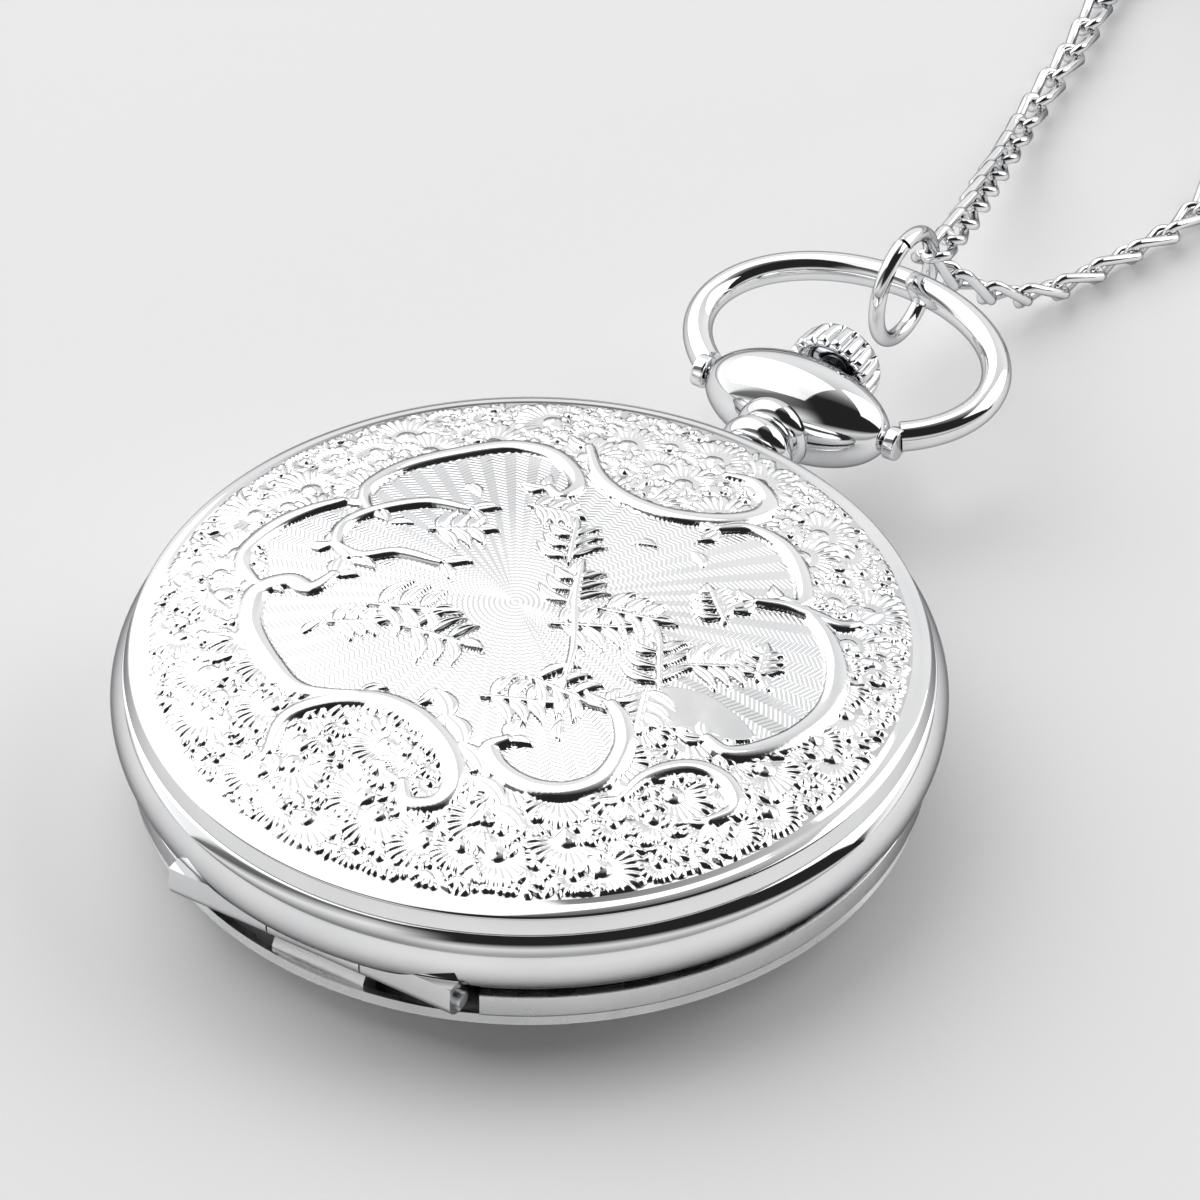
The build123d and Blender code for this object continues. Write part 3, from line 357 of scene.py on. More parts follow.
def embossed(name, centre):
    """Chrome whose stamped ground carries concentric zigzag engine turning round a centre in millimetres."""
    material, tree, shader = new_material(name, CHROME_LIGHT, 1.0, 0.08)
    shader.inputs["Specular Tint"].default_value = EDGE_TINT
    coordinates = node(tree, "ShaderNodeTexCoord")
    moved = node(tree, "ShaderNodeVectorMath", {0: coordinates.outputs["Object"],
                                                1: (-centre[0] * MM, -centre[1] * MM, 0)}, operation="ADD")
    parts = node(tree, "ShaderNodeSeparateXYZ", {0: moved.outputs[0]})
    flat = node(tree, "ShaderNodeCombineXYZ", {0: parts.outputs[0], 1: parts.outputs[1]})
    radius = node(tree, "ShaderNodeVectorMath", {0: flat.outputs[0]}, operation="LENGTH")
    angle = maths(tree, "ARCTAN2", parts.outputs[1], parts.outputs[0])
    zigzag = maths(tree, "PINGPONG", angle, pi / ZIGZAGS)
    lift = maths(tree, "MULTIPLY", zigzag, maths(tree, "MULTIPLY", radius.outputs["Value"], ZIGZAG_SLOPE))
    path = maths(tree, "ADD", radius.outputs["Value"], lift)
    wave = maths(tree, "SINE", maths(tree, "MULTIPLY", path, 2 * pi / (ENGINE_PITCH * MM)))
    ground = node(tree, "ShaderNodeAttribute", attribute_name="ground")
    cut = maths(tree, "MULTIPLY", wave, ground.outputs["Fac"])
    # Painted shade: where the hollow-shade attribute is high, the base colour is mixed towards a flat grey,
    # darkening the relief's hollows.
    hollow_shade = node(tree, "ShaderNodeAttribute", attribute_name="hollow_shade")
    painted_shade_mix = node(tree, "ShaderNodeMix", {0: hollow_shade.outputs["Fac"]}, data_type="RGBA")
    tree.links.new(tinted(tree, object_noise(tree, 90, 4), CHROME_DARK, CHROME_LIGHT), painted_shade_mix.inputs[6])
    painted_shade_mix.inputs[7].default_value = (0.58, 0.58, 0.59, 1)
    tree.links.new(painted_shade_mix.outputs[2], shader.inputs["Base Color"])
    worn(tree, shader, (600, 5), 0.07, 0.16)
    fine = bumped(tree, shader, object_noise(tree, 2600, 3), 4e-6)
    bumped(tree, shader, cut, 1.0e-5, normal=fine)
    return material


# Engine turning: ring spacing in mm, folds per half turn, how far each fold leans out, centre.
ENGINE_PITCH, ZIGZAGS, ZIGZAG_SLOPE, ENGINE_CENTRE = 0.3, 62, 0.55, (-1.2, 0.4)
cover_metal = embossed("embossed_chrome", ENGINE_CENTRE)
lid_metal = embossed("embossed_satin", (0.0, 0.0))
nickel, dial_white, dial_ink, clear_glass = striped_nickel(), enamel(), ink(), glass()
rubber = dull("gasket_rubber", (0.015, 0.015, 0.015), (0.05, 0.05, 0.05), 0.6)
resin = dull("black_resin", (0.03, 0.03, 0.032), (0.08, 0.08, 0.085), 0.5)
jewel = ruby()

# ---- camera, floor and light --------------------------------------------------------------
camera_data = bpy.data.cameras.new("camera")
camera_data.lens, camera_data.sensor_width = 180, 36
camera_data.clip_start, camera_data.clip_end = 0.01, 20
camera = bpy.data.objects.new("camera", camera_data)
bpy.context.scene.collection.objects.link(camera)
CAMERA_PLACE = (0.13534, -0.21597, 0.22734)
view_right = Vector((0.85190, 0.52364, 0.00785))
view_up = Vector((-0.34191, 0.54476, 0.76571))
view_back = view_right.cross(view_up)
facing = Matrix((view_right, view_up, view_back)).transposed().to_4x4()
camera.matrix_world = Matrix.Translation(CAMERA_PLACE) @ facing
bpy.context.scene.camera = camera
bpy.context.scene.view_settings.view_transform = "Standard"

FLOOR = 3.0  # half the floor's side, in metres
floor_mesh = bpy.data.meshes.new("floor")
floor_corners = [(-FLOOR, -FLOOR, 0), (FLOOR, -FLOOR, 0), (FLOOR, FLOOR, 0), (-FLOOR, FLOOR, 0)]
floor_mesh.from_pydata(floor_corners, [], [(0, 1, 2, 3)])
floor = bpy.data.objects.new("floor", floor_mesh)
bpy.context.scene.collection.objects.link(floor)
paper, paper_tree, paper_shader = new_material("white_paper", (0.95, 0.95, 0.95), 0.0, 0.9)
mottled(paper_tree, paper_shader, (4, 3), (0.94, 0.94, 0.94), (0.96, 0.96, 0.96))
floor_mesh.materials.append(paper)


# Grey levels of the room by its tilt over the watch: 0 is the horizon behind, 1 the one on the camera's side.
OVERHEAD = ((0, 0.15), (0.05, 0.85), (0.2, 0.72), (0.36, 0.5), (0.46, 0.15),
            (0.54, 0.015), (0.84, 0.015), (0.9, 0.6), (0.97, 0.3))
LEFT_SIDE = ((0, 0.2), (0.06, 0.95), (0.3, 0.85), (0.52, 0.8), (0.6, 0.15),
             (0.7, 0.1), (0.82, 0.7), (0.97, 0.2))
CAMERA_TURN = -31.2  # degrees about Z that turn the way the camera looks onto +Y
SKY_STRENGTH = 1.25


def studio_world():
    """White studio round the table, open and dark overhead on the camera's side, as chrome shows it."""
    world = bpy.data.worlds.new("studio")
    bpy.context.scene.world = world
    world.use_nodes = True
    tree = world.node_tree
    background = tree.nodes["Background"]
    coordinates = node(tree, "ShaderNodeTexCoord")
    turned = node(tree, "ShaderNodeVectorRotate", {"Vector": coordinates.outputs["Generated"],
                                                   "Axis": (0, 0, 1), "Angle": radians(CAMERA_TURN)})
    parts = node(tree, "ShaderNodeSeparateXYZ", {0: turned.outputs[0]})
    tilt = maths(tree, "ARCTAN2", parts.outputs[2], parts.outputs[1])
    share = node(tree, "ShaderNodeMapRange", {"Value": tilt, "From Min": 0.0, "From Max": pi})
    overhead = banded(tree, share.outputs[0], OVERHEAD)
    left_side = banded(tree, share.outputs[0], LEFT_SIDE)
    leftness = node(tree, "ShaderNodeMapRange", interpolation_type="SMOOTHSTEP",
                    inputs={"Value": parts.outputs[0], "From Min": -0.25, "From Max": -0.6})
    sky = node(tree, "ShaderNodeMix", {0: leftness.outputs[0]}, data_type="RGBA")
    tree.links.new(overhead, sky.inputs[6])
    tree.links.new(left_side, sky.inputs[7])
    tree.links.new(sky.outputs[2], background.inputs["Color"])
    background.inputs["Strength"].default_value = SKY_STRENGTH


def banded(tree, value, stops):
    """Grey bands by a 0-1 value."""
    ramp = node(tree, "ShaderNodeValToRGB", {"Fac": value})
    elements = ramp.color_ramp.elements
    elements[1].position, elements[1].color = stops[-1][0], (stops[-1][1],) * 3 + (1,)
    elements[0].position, elements[0].color = stops[0][0], (stops[0][1],) * 3 + (1,)
    for position, level in stops[1:-1]:
        elements.new(position).color = (level, level, level, 1)
    return ramp.outputs[0]


studio_world()


def softbox(name, place, aim, size, power):
    """A large square light aimed at a point."""
    light = bpy.data.lights.new(name, "AREA")
    light.size, light.energy = size, power
    lamp = bpy.data.objects.new(name, light)
    bpy.context.scene.collection.objects.link(lamp)
    lamp.location = place
    lamp.rotation_mode = "QUATERNION"
    lamp.rotation_quaternion = (Vector(aim) - Vector(place)).to_track_quat("-Z", "Y")


softbox("key_softbox", (-0.5, 0.1, 0.7), (0, 0.02, 0), 1.1, 3.7)
softbox("fill_softbox", (0.5, 0.6, 0.55), (0, 0.02, 0), 0.8, 2.6)

# ---- chain --------------------------------------------------------------------------------
STRAND_ONE = [
    (0.2, 47.45, 8.0), (-0.7, 52.0, 6.8), (-2.6, 57.9, 4.9), (-4.6, 65.0, 2.5), (-6.1, 70.6, 1.2),
    (-6.8, 75.3, 1.1), (-7.2, 79.2, 1.1), (-8.0, 83.0, 1.1), (-8.7, 86.8, 1.1), (-8.4, 90.6, 1.1),
    (-6.4, 94.0, 1.1), (-3.0, 96.6, 1.1), (-0.4, 99.4, 1.1),
]
STRAND_TWO = [
    (0.7, 47.0, 6.4), (1.6, 48.2, 4.9), (2.6, 50.6, 3.1), (3.9, 53.6, 1.7), (5.0, 57.1, 1.1),
    (6.1, 60.5, 1.1), (7.3, 63.8, 1.1), (7.9, 67.3, 1.1), (7.5, 71.0, 1.1), (7.2, 74.8, 1.1),
    (7.9, 78.6, 1.1), (9.7, 82.0, 1.1), (12.6, 84.8, 1.1), (15.6, 86.2, 1.1),
]
COIL_CENTRE = (14.0, 100.0)
CHAIN_WIDTH, CHAIN_PITCH, LINK_WIRE_R, LINK_TWIST = 2.1, 3.2, 0.32, 48
# Radius and height of each put-away turn.
COIL_LAYERS = [(14.6, 1.1), (12.5, 1.1), (10.4, 1.1), (10.4, 3.1), (10.4, 5.1), (12.5, 5.1), (12.5, 3.1),
               (14.4, 3.6), (14.6, 3.1)]


def coil_points():
    """The put-away turns: clockwise rings that step through the bundle's section."""
    points = []
    per_turn = 16
    steps = int((len(COIL_LAYERS) - 0.31) * per_turn)  # the last turn stops beside the way out
    for step in range(1, steps):
        along = step / per_turn
        turn = int(along)
        share = along - turn
        r0, z0 = COIL_LAYERS[turn]
        r1, z1 = COIL_LAYERS[min(turn + 1, len(COIL_LAYERS) - 1)]
        blend = min(max((share - 0.75) / 0.25, 0.0), 1.0)
        radius, z = r0 + (r1 - r0) * blend, z0 + (z1 - z0) * blend
        angle = radians(180) - 2 * pi * along
        points.append((COIL_CENTRE[0] + radius * cos(angle), COIL_CENTRE[1] + radius * sin(angle), z))
    return points


def spline_points(name, route):
    """Points read along the smooth spline whose control points are the route, in millimetres."""
    curve = bpy.data.curves.new(name, "CURVE")
    curve.dimensions = "3D"
    curve.resolution_u = 6
    spline = curve.splines.new("NURBS")
    spline.points.add(len(route) - 1)
    for point, place in zip(spline.points, route):
        point.co = (place[0] * MM, place[1] * MM, place[2] * MM, 1)
    spline.order_u = 3
    spline.use_endpoint_u = True
    guide = bpy.data.objects.new(name, curve)
    bpy.context.scene.collection.objects.link(guide)
    mesh = bpy.data.meshes.new_from_object(guide)
    read = [tuple(vertex.co) for vertex in mesh.vertices]
    bpy.data.objects.remove(guide)
    bpy.data.meshes.remove(mesh)
    return read


def curb_link(centre, tangent, side, up, steps):
    """One closed link of round wire, its two ends twisted apart so that its neighbours lie flat with it."""
    half_long, half_wide = CHAIN_PITCH / 2 + LINK_WIRE_R, CHAIN_WIDTH / 2 - LINK_WIRE_R
    path = []
    for step in range(steps):
        angle = 2 * pi * (step + 0.5) / steps
        along = half_wide * cos(angle) + (half_long - half_wide) * (1 if cos(angle) > 0 else -1)
        twist = radians(LINK_TWIST) * along / half_long
        path.append(centre + tangent * along + (side * cos(twist) + up * sin(twist)) * half_wide * sin(angle))
    return swept(path, LINK_WIRE_R, 10, closed=True)


def build_chain():
    """The whole chain as one mesh of links threaded on its route, with the end links on the jump ring."""
    exit_down = [(15.9, 85.6, 1.7)]
    route = STRAND_ONE + coil_points() + exit_down + STRAND_TWO[-2::-1]
    centreline = spline_points("chain_route", route)
    line = np.array(centreline) / MM
    total = np.linalg.norm(np.diff(line, axis=0), axis=1).sum()
    lead = 1.5  # the line is run on past both ends for the links that hold the ring
    ends = [line[0] + (line[0] - line[1]) / np.linalg.norm(line[0] - line[1]) * lead,
            line[-1] + (line[-1] - line[-2]) / np.linalg.norm(line[-1] - line[-2]) * lead]
    line = np.vstack([ends[0], line, ends[1]])
    reach = np.concatenate([[0], np.cumsum(np.linalg.norm(np.diff(line, axis=0), axis=1))])
    first, last = lead - 0.55, lead + total + 0.75
    count = round((last - first) / CHAIN_PITCH)
    dice = Random(11)

    def at(distance):
        return np.array([np.interp(distance, reach, line[:, k]) for k in range(3)])

    parts = []
    for i in range(count + 1):
        distance = first + (last - first) * i / count
        tangent = at(min(distance + 0.7, reach[-1])) - at(max(distance - 0.7, 0))
        tangent /= np.linalg.norm(tangent)
        level = np.cross([0, 0, 1.0], tangent)
        level /= np.linalg.norm(level)
        upward = np.cross(tangent, level)
        roll = radians(20 + 28 * sin(distance / 7) + dice.uniform(-7, 7))
        side, up = level * cos(roll) + upward * sin(roll), upward * cos(roll) - level * sin(roll)
        parts.append(curb_link(at(distance), tangent, side, up, 22))
    chain = joined("chain", parts, wire_chrome, smooth=60)
    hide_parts("chain_strand_1", "chain_strand_2", "chain_coil")
    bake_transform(chain)


build_chain()

# ---- stamped ornament ---------------------------------------------------------------------
# Many points of these two tables are places picked on the photograph, which a scratch program
# projected onto the cover. They aren't drawn freely, and report.md says so.
CARTOUCHE = [
    (-14.0, 4.3), (-14.4, 5.9), (-13.7, 8.3), (-11.9, 10.8), (-9.6, 13.1), (-7.2, 13.7), (-5.0, 12.8),
    (-3.6, 12.2), (-1.2, 11.4), (1.5, 11.6), (4.1, 12.4), (6.1, 13.6), (8.3, 13.7), (10.1, 12.5),
    (11.9, 10.0), (14.5, 8.1), (16.3, 6.0), (17.4, 3.2), (17.2, 0.3), (16.1, -2.1), (13.5, -2.6),
    (11.2, -3.6), (10.1, -5.5), (10.3, -8.8), (9.2, -10.7), (7.3, -11.6), (5.3, -11.4), (3.6, -11.8),
    (1.8, -11.0), (-0.9, -10.1),
    (-3.6, -10.1), (-5.9, -11.5), (-7.7, -11.4), (-10.5, -10.2), (-13.1, -8.4), (-14.3, -6.6), (-14.6, -5.0),
    (-15.6, -3.0), (-17.0, -1.5), (-17.1, 0.0), (-16.1, 2.1), (-14.8, 3.6),
]
SCROLLS = [
    ([(-13.2, 3.6), (-14.1, 4.6), (-14.4, 5.9), (-13.7, 8.3), (-11.9, 10.8), (-9.6, 13.1), (-7.2, 13.7),
      (-5.1, 12.8), (-4.0, 11.4), (-4.3, 10.1), (-5.2, 10.4)], 0.42),
    ([(-5.6, 15.4), (-3.6, 13.2), (-1.2, 12.1), (1.5, 12.1), (4.1, 13.3), (5.7, 15.1), (5.6, 16.9),
      (4.0, 18.0), (2.4, 17.6)], 0.45),
    ([(4.8, 12.6), (6.1, 13.8), (8.3, 13.7), (10.1, 12.5), (11.6, 10.6), (11.9, 9.5), (11.0, 9.3)], 0.4),
    ([(9.9, 8.1), (11.3, 8.9), (12.8, 9.2), (14.5, 9.4), (15.3, 10.2)], 0.36),
    ([(12.4, 9.3), (14.5, 8.1), (16.3, 6.0), (17.4, 3.2), (17.2, 0.3), (16.1, -2.1), (14.8, -3.4),
      (13.4, -3.2)], 0.5),
    ([(7.8, -4.0), (8.8, -4.6), (10.0, -6.3), (10.3, -8.8), (9.2, -10.7), (7.3, -11.6), (5.3, -11.4),
      (3.9, -10.4), (4.4, -9.4)], 0.5),
    ([(-6.6, -16.3), (-7.2, -13.8), (-5.9, -11.7), (-3.6, -10.3), (-0.9, -10.3), (1.8, -11.5), (3.5, -13.3),
      (3.6, -15.1), (2.2, -15.9), (1.2, -14.9)], 0.5),
    ([(-4.6, -10.5), (-7.7, -11.5), (-10.5, -10.3), (-13.1, -8.4), (-14.3, -6.6), (-14.5, -5.2),
      (-13.4, -4.0), (-11.9, -4.1), (-11.4, -2.6)], 0.5),
    ([(-15.0, -5.0), (-16.6, -4.0), (-17.3, -2.6), (-17.1, 0.0), (-16.1, 2.1), (-14.8, 3.6)], 0.4),
    ([(-11.5, -0.9), (-13.0, 0.1), (-13.5, 1.9), (-12.5, 3.9), (-10.3, 5.8), (-7.9, 6.2)], 0.34),
    ([(-12.9, -0.1), (-11.0, -0.4), (-9.2, 0.9), (-6.6, 1.1)], 0.3),
    ([(11.9, -9.6), (12.2, -7.4), (13.7, -5.5), (15.7, -5.2), (17.2, -6.5), (16.6, -8.2)], 0.42),
]


SHIELD = [(8.6, -3.2), (9.4, -1.2), (11.4, -0.3), (13.6, -0.6), (15.4, -1.6), (14.0, -2.8), (11.6, -3.6),
          (10.0, -4.4)]
# Place, heading and size of each leafy tuft on the engine-turned ground.
SPRIGS = [
    (-6.3, -3.2, 0.35, 2.0), (-3.6, -4.4, 0.1, 1.9), (-8.2, -5.6, 0.5, 1.3), (1.0, 3.0, 1.9, 1.7),
    (3.2, 0.6, 0.5, 1.9), (4.7, 2.8, 0.3, 1.7), (-1.2, 6.4, 2.0, 1.7), (4.6, -4.6, 0.0, 1.9),
    (3.0, -6.6, 0.4, 1.7), (8.3, 0.2, 2.1, 1.9), (10.6, 1.8, 0.6, 1.6), (9.2, -3.0, -1.2, 1.5),
    (-7.6, 4.2, 0.5, 1.5), (-4.0, 8.6, 0.2, 1.3), (8.4, 6.4, 2.4, 1.3), (12.8, 3.6, 1.9, 1.2),
]


class Relief:
    """A height map over scattered points, built by raising stamped shapes."""

    def __init__(self, x, y):
        self.x, self.y = x, y
        self.height = np.zeros_like(x)

    def near(self, cx, cy, reach):
        return np.flatnonzero((np.abs(self.x - cx) < reach) & (np.abs(self.y - cy) < reach))

    def raise_to(self, index, height):
        self.height[index] = np.maximum(self.height[index], height)

    def stroke(self, route, half_width, height):
        """A rounded line with tapered ends."""
        route = smooth_route(route, 8)
        count = len(route)
        for i in range(count - 1):
            (x0, y0), (x1, y1) = route[i], route[i + 1]
            share = (i + 0.5) / count
            width = half_width * (0.35 + 0.65 * sin(pi * min(max(share, 0.04), 0.96)) ** 0.5)
            length = hypot(x1 - x0, y1 - y0) + 1e-9
            index = self.near((x0 + x1) / 2, (y0 + y1) / 2, length / 2 + width)
            dx, dy = self.x[index] - x0, self.y[index] - y0
            t = np.clip((dx * (x1 - x0) + dy * (y1 - y0)) / length**2, 0, 1)
            away = np.hypot(dx - t * (x1 - x0), dy - t * (y1 - y0)) / width
            self.raise_to(index, height * np.clip(1 - away**2, 0, 1) ** 0.6)

    def pearl(self, cx, cy, radius, height):
        """A round bead."""
        index = self.near(cx, cy, radius)
        away = np.hypot(self.x[index] - cx, self.y[index] - cy) / radius
        self.raise_to(index, height * np.sqrt(np.clip(1 - away**2, 0, 1)))

    def leaf(self, cx, cy, heading, length, half_width, height):
        """A pointed leaf with a vein, growing from its base."""
        index = self.near(cx, cy, length)
        dx, dy = self.x[index] - cx, self.y[index] - cy
        u = (dx * cos(heading) + dy * sin(heading)) / length
        v = -dx * sin(heading) + dy * cos(heading) - 0.14 * length * np.sin(pi * np.clip(u, 0, 1))
        width = half_width * np.sin(pi * np.clip(u, 0, 1) ** 0.8) + 1e-6
        dome = np.clip(1 - (v / width) ** 2, 0, 1) ** 0.5
        vein = 0.35 * np.exp(-((v / (0.16 * half_width)) ** 2))
        shape = np.where((u > 0) & (u < 1), height * (dome - vein * dome), 0)
        self.raise_to(index, shape)

    def fan(self, cx, cy, heading, radius, petals, height):
        """A shell-like flower: ribbed petals fanning from a pearl."""
        index = self.near(cx, cy, radius)
        dx, dy = self.x[index] - cx, self.y[index] - cy
        reach = np.hypot(dx, dy) / radius
        turn = (np.arctan2(dy, dx) - heading + pi) % (2 * pi) - pi
        half_span = 1.45
        rib = np.abs(np.cos(turn * petals * pi / (2 * half_span)))
        edge = 1 - 0.1 * (1 - rib)
        shape = height * (0.35 + 0.65 * rib) * np.clip((edge - reach) * 7, 0, 1)
        shape *= np.clip(reach * 2.2, 0.3, 1) * (0.75 + 0.25 * np.cos(reach * 9))
        self.raise_to(index, np.where((np.abs(turn) < half_span) & (reach < edge), shape, 0))
        self.pearl(cx, cy, radius * 0.24, height * 1.15)
        self.pearl(cx, cy, radius * 0.09, height * 1.5)


def smooth_route(route, steps):
    """A smooth line through the points of a route."""
    ends = [route[0]] + list(route) + [route[-1]]
    result = []
    for i in range(1, len(ends) - 2):
        p0, p1, p2, p3 = (np.array(ends[k], float) for k in (i - 1, i, i + 1, i + 2))
        for step in range(steps):
            t = step / steps
            result.append(tuple(0.5 * (2 * p1 + (p2 - p0) * t + (2 * p0 - 5 * p1 + 4 * p2 - p3) * t**2
                                       + (3 * p1 - p0 - 3 * p2 + p3) * t**3)))
    result.append(tuple(np.array(route[-1], float)))
    return result


def inside(outline, x, y):
    """Which points lie inside a closed outline."""
    found = np.zeros(x.shape, bool)
    for (x0, y0), (x1, y1) in zip(outline, outline[1:] + outline[:1]):
        crosses = (y0 > y) != (y1 > y)
        at = (x1 - x0) * (y - y0) / (y1 - y0 + 1e-12) + x0
        found ^= crosses & (x < at)
    return found


def sprig(relief, cx, cy, heading, size):
    """A tuft of bold leaves growing both ways from a short stem."""
    relief.stroke([(cx - size * cos(heading), cy - size * sin(heading)),
                   (cx + size * cos(heading), cy + size * sin(heading))], 0.24, 0.24)
    for along in (-0.7, -0.1, 0.5):
        px, py = cx + along * size * cos(heading), cy + along * size * sin(heading)
        for side in (-1, 1):
            relief.leaf(px, py, heading + side * 1.0, size * (1.25 - 0.3 * along), 0.42, 0.26)
    tip_x, tip_y = cx + 0.8 * size * cos(heading), cy + 0.8 * size * sin(heading)
    relief.leaf(tip_x, tip_y, heading, size * 0.9, 0.45, 0.26)


def border_flower(relief, x, y, size, heading):
    """One stamp of the crowded border: a shell flower, a pair of leaves, a leaf or a pearl, by size."""
    if size > 0.9:
        relief.fan(x - 0.45 * size * cos(heading), y - 0.45 * size * sin(heading), heading, size * 1.2,
                   9 if size < 1.3 else 12, 0.19)
    elif size > 0.6:
        for lean, length in ((-0.7, 1.5), (0.0, 1.8), (0.7, 1.5)):
            relief.leaf(x - 0.5 * size * cos(heading), y - 0.5 * size * sin(heading), heading + lean,
                        size * length, size * 0.3, 0.22)
    elif size > 0.4:
        relief.leaf(x - 0.6 * size * cos(heading), y - 0.6 * size * sin(heading), heading, size * 1.7,
                    size * 0.4, 0.2)
    else:
        relief.pearl(x, y, 0.24, 0.16)


def cover_relief(x, y):
    """The back cover's stamped design: height in millimetres, engine-turned ground and painted shade for its
    hollows.
    """
    relief = Relief(x, y)
    panel = inside(smooth_closed(CARTOUCHE), x, y)
    dice = np.random.default_rng(5)
    taken = np.zeros((0, 3))
    # Each size of stamp is tried in random places and kept where nothing is yet, largest first.
    for size, tries in ((2.1, 260), (1.6, 420), (1.1, 1200), (0.7, 4200), (0.5, 7000), (0.3, 16000)):
        distance, angle = 21.2 * np.sqrt(dice.uniform(0.2, 1, tries)), dice.uniform(-pi, pi, tries)
        px, py, lean = distance * np.cos(angle), distance * np.sin(angle), dice.uniform(-1.2, 1.2, tries)
        free = (distance + size * 0.6 < 21.25) & ~inside(CARTOUCHE, px, py)
        for i in np.flatnonzero(free):
            if (np.hypot(taken[:, 0] - px[i], taken[:, 1] - py[i]) < (size + taken[:, 2]) * 0.56).any():
                continue
            taken = np.vstack([taken, (px[i], py[i], size)])
            border_flower(relief, px[i], py[i], size, angle[i] + lean[i])
    relief.height[panel] = 0.0
    for route, width in SCROLLS:
        relief.stroke(route, width * 1.5, 0.36)
        for end, inner in ((route[0], route[1]), (route[-1], route[-2])):
            heading = atan2(end[1] - inner[1], end[0] - inner[0])
            relief.leaf(*end, heading + 0.5, 1.9, 0.5, 0.26)
            relief.leaf(*end, heading - 0.8, 1.5, 0.42, 0.24)
    for turn in range(5):
        relief.leaf(-15.3 + 0.9 * turn, -7.6 - 1.0 * turn, 2.6 + 0.3 * turn, 2.2, 0.42, 0.22)
    for step, (px, py) in enumerate(((-1.2, -8.0), (0.4, -9.4), (2.2, -10.9), (4.2, -12.6), (6.0, -13.9))):
        relief.leaf(px, py, -0.75 + 0.12 * step, 3.0, 0.62, 0.24)
        relief.leaf(px, py, -1.75, 1.9, 0.42, 0.22)
    relief.stroke([(4.9, -4.6), (3.6, -1.2), (1.5, 2.4), (0.2, 5.2)], 0.3, 0.26)
    for px, py, heading, size in SPRIGS:
        sprig(relief, px, py, heading, size)
    for px, py, heading in ((-11.4, 3.0, 0.4), (-10.2, -7.6, 1.2), (4.6, 9.9, -0.6), (14.2, 2.2, 2.2),
                            (6.8, -7.8, 2.0), (-9.6, 8.4, -0.4), (1.4, 8.6, 0.3)):
        relief.leaf(px, py, heading, 1.6, 0.36, 0.16)
    ground = panel & (relief.height < 0.02)
    flat = inside(smooth_closed(SHIELD), x, y)
    relief.height[flat] = np.maximum(relief.height[flat], 0.16)
    ground &= ~flat
    # Painted shade: the low ground between raised shapes outside the panel gets a weight that darkens the
    # base colour.
    hollow_shade = np.clip(0.07 - relief.height, 0, 0.07) / 0.07 * ~panel
    return relief.height, ground.astype(float), hollow_shade * 0.55


def smooth_closed(outline):
    """A smooth closed outline through its points."""
    doubled = smooth_route(list(outline) + [outline[0]], 5)
    return doubled[:-1]


def stamped_disc(name, surface_z, relief_of, radius, rings, segments, facing, material, inner=0.0):
    """A polar mesh carrying a stamped relief, with its ground attribute and its attribute of painted shade in
    the hollows.
    """
    r = np.linspace(inner, radius, rings + 1)
    if inner == 0.0:
        r = r[1:]
    a = np.linspace(0, 2 * pi, segments, endpoint=False)
    grid_r, grid_a = np.meshgrid(r, a, indexing="ij")
    x, y = (grid_r * np.cos(grid_a)).ravel(), (grid_r * np.sin(grid_a)).ravel()
    height, ground, hollow_shade = relief_of(x, y)
    fade = np.clip((radius - np.hypot(x, y)) / 0.25, 0, 1)
    if inner:
        fade *= np.clip((np.hypot(x, y) - inner) / 0.25, 0, 1)
    z = surface_z(np.hypot(x, y)) + facing * height * fade
    points = np.stack([x, y, z], 1)
    rows, columns = len(r), segments
    base = (np.arange(rows - 1)[:, None] * columns + np.arange(columns)[None, :])
    right = (np.arange(rows - 1)[:, None] * columns + (np.arange(columns)[None, :] + 1) % columns)
    quads = np.stack([base, base + columns, right + columns, right], -1).reshape(-1, 4)
    if facing < 0:
        quads = quads[:, ::-1]
    faces = quads.tolist()
    if inner == 0.0:
        points = np.vstack([points, [[0, 0, surface_z(np.zeros(1))[0]]]])
        centre = rows * columns
        spokes = [(centre, i, (i + 1) % columns) for i in range(columns)]
        faces += spokes if facing > 0 else [face[::-1] for face in spokes]
        ground, hollow_shade = np.append(ground, 1.0), np.append(hollow_shade, 0.0)
    mesh = bpy.data.meshes.new(name)
    mesh.from_pydata((points * MM).tolist(), [], faces)
    mesh.update()
    mesh.shade_smooth()
    for label, values in (("ground", ground), ("hollow_shade", hollow_shade)):
        attribute = mesh.attributes.new(label, "FLOAT", "POINT")
        attribute.data.foreach_set("value", values.astype(np.float32))
    piece = bpy.data.objects.new(name, mesh)
    bpy.context.scene.collection.objects.link(piece)
    mesh.materials.append(material)
    return piece


dome_radius = (DOME_EDGE_R**2 + (DOME_TOP_Z - DOME_EDGE_Z) ** 2) / 2 / (DOME_TOP_Z - DOME_EDGE_Z)


def cover_z(radius, depth=0.0):
    """Height of the back cover's dome, or of a surface a given depth under it."""
    return DOME_TOP_Z - dome_radius + np.sqrt((dome_radius - depth) ** 2 - np.asarray(radius, float) ** 2)


# ---- case ---------------------------------------------------------------------------------
RINGS, SEGMENTS = ((240, 1500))
cover_top = stamped_disc("back_cover_relief", cover_z, cover_relief, DOME_EDGE_R, RINGS, SEGMENTS, 1,
                         cover_metal)
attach(cover_top, "back_cover")

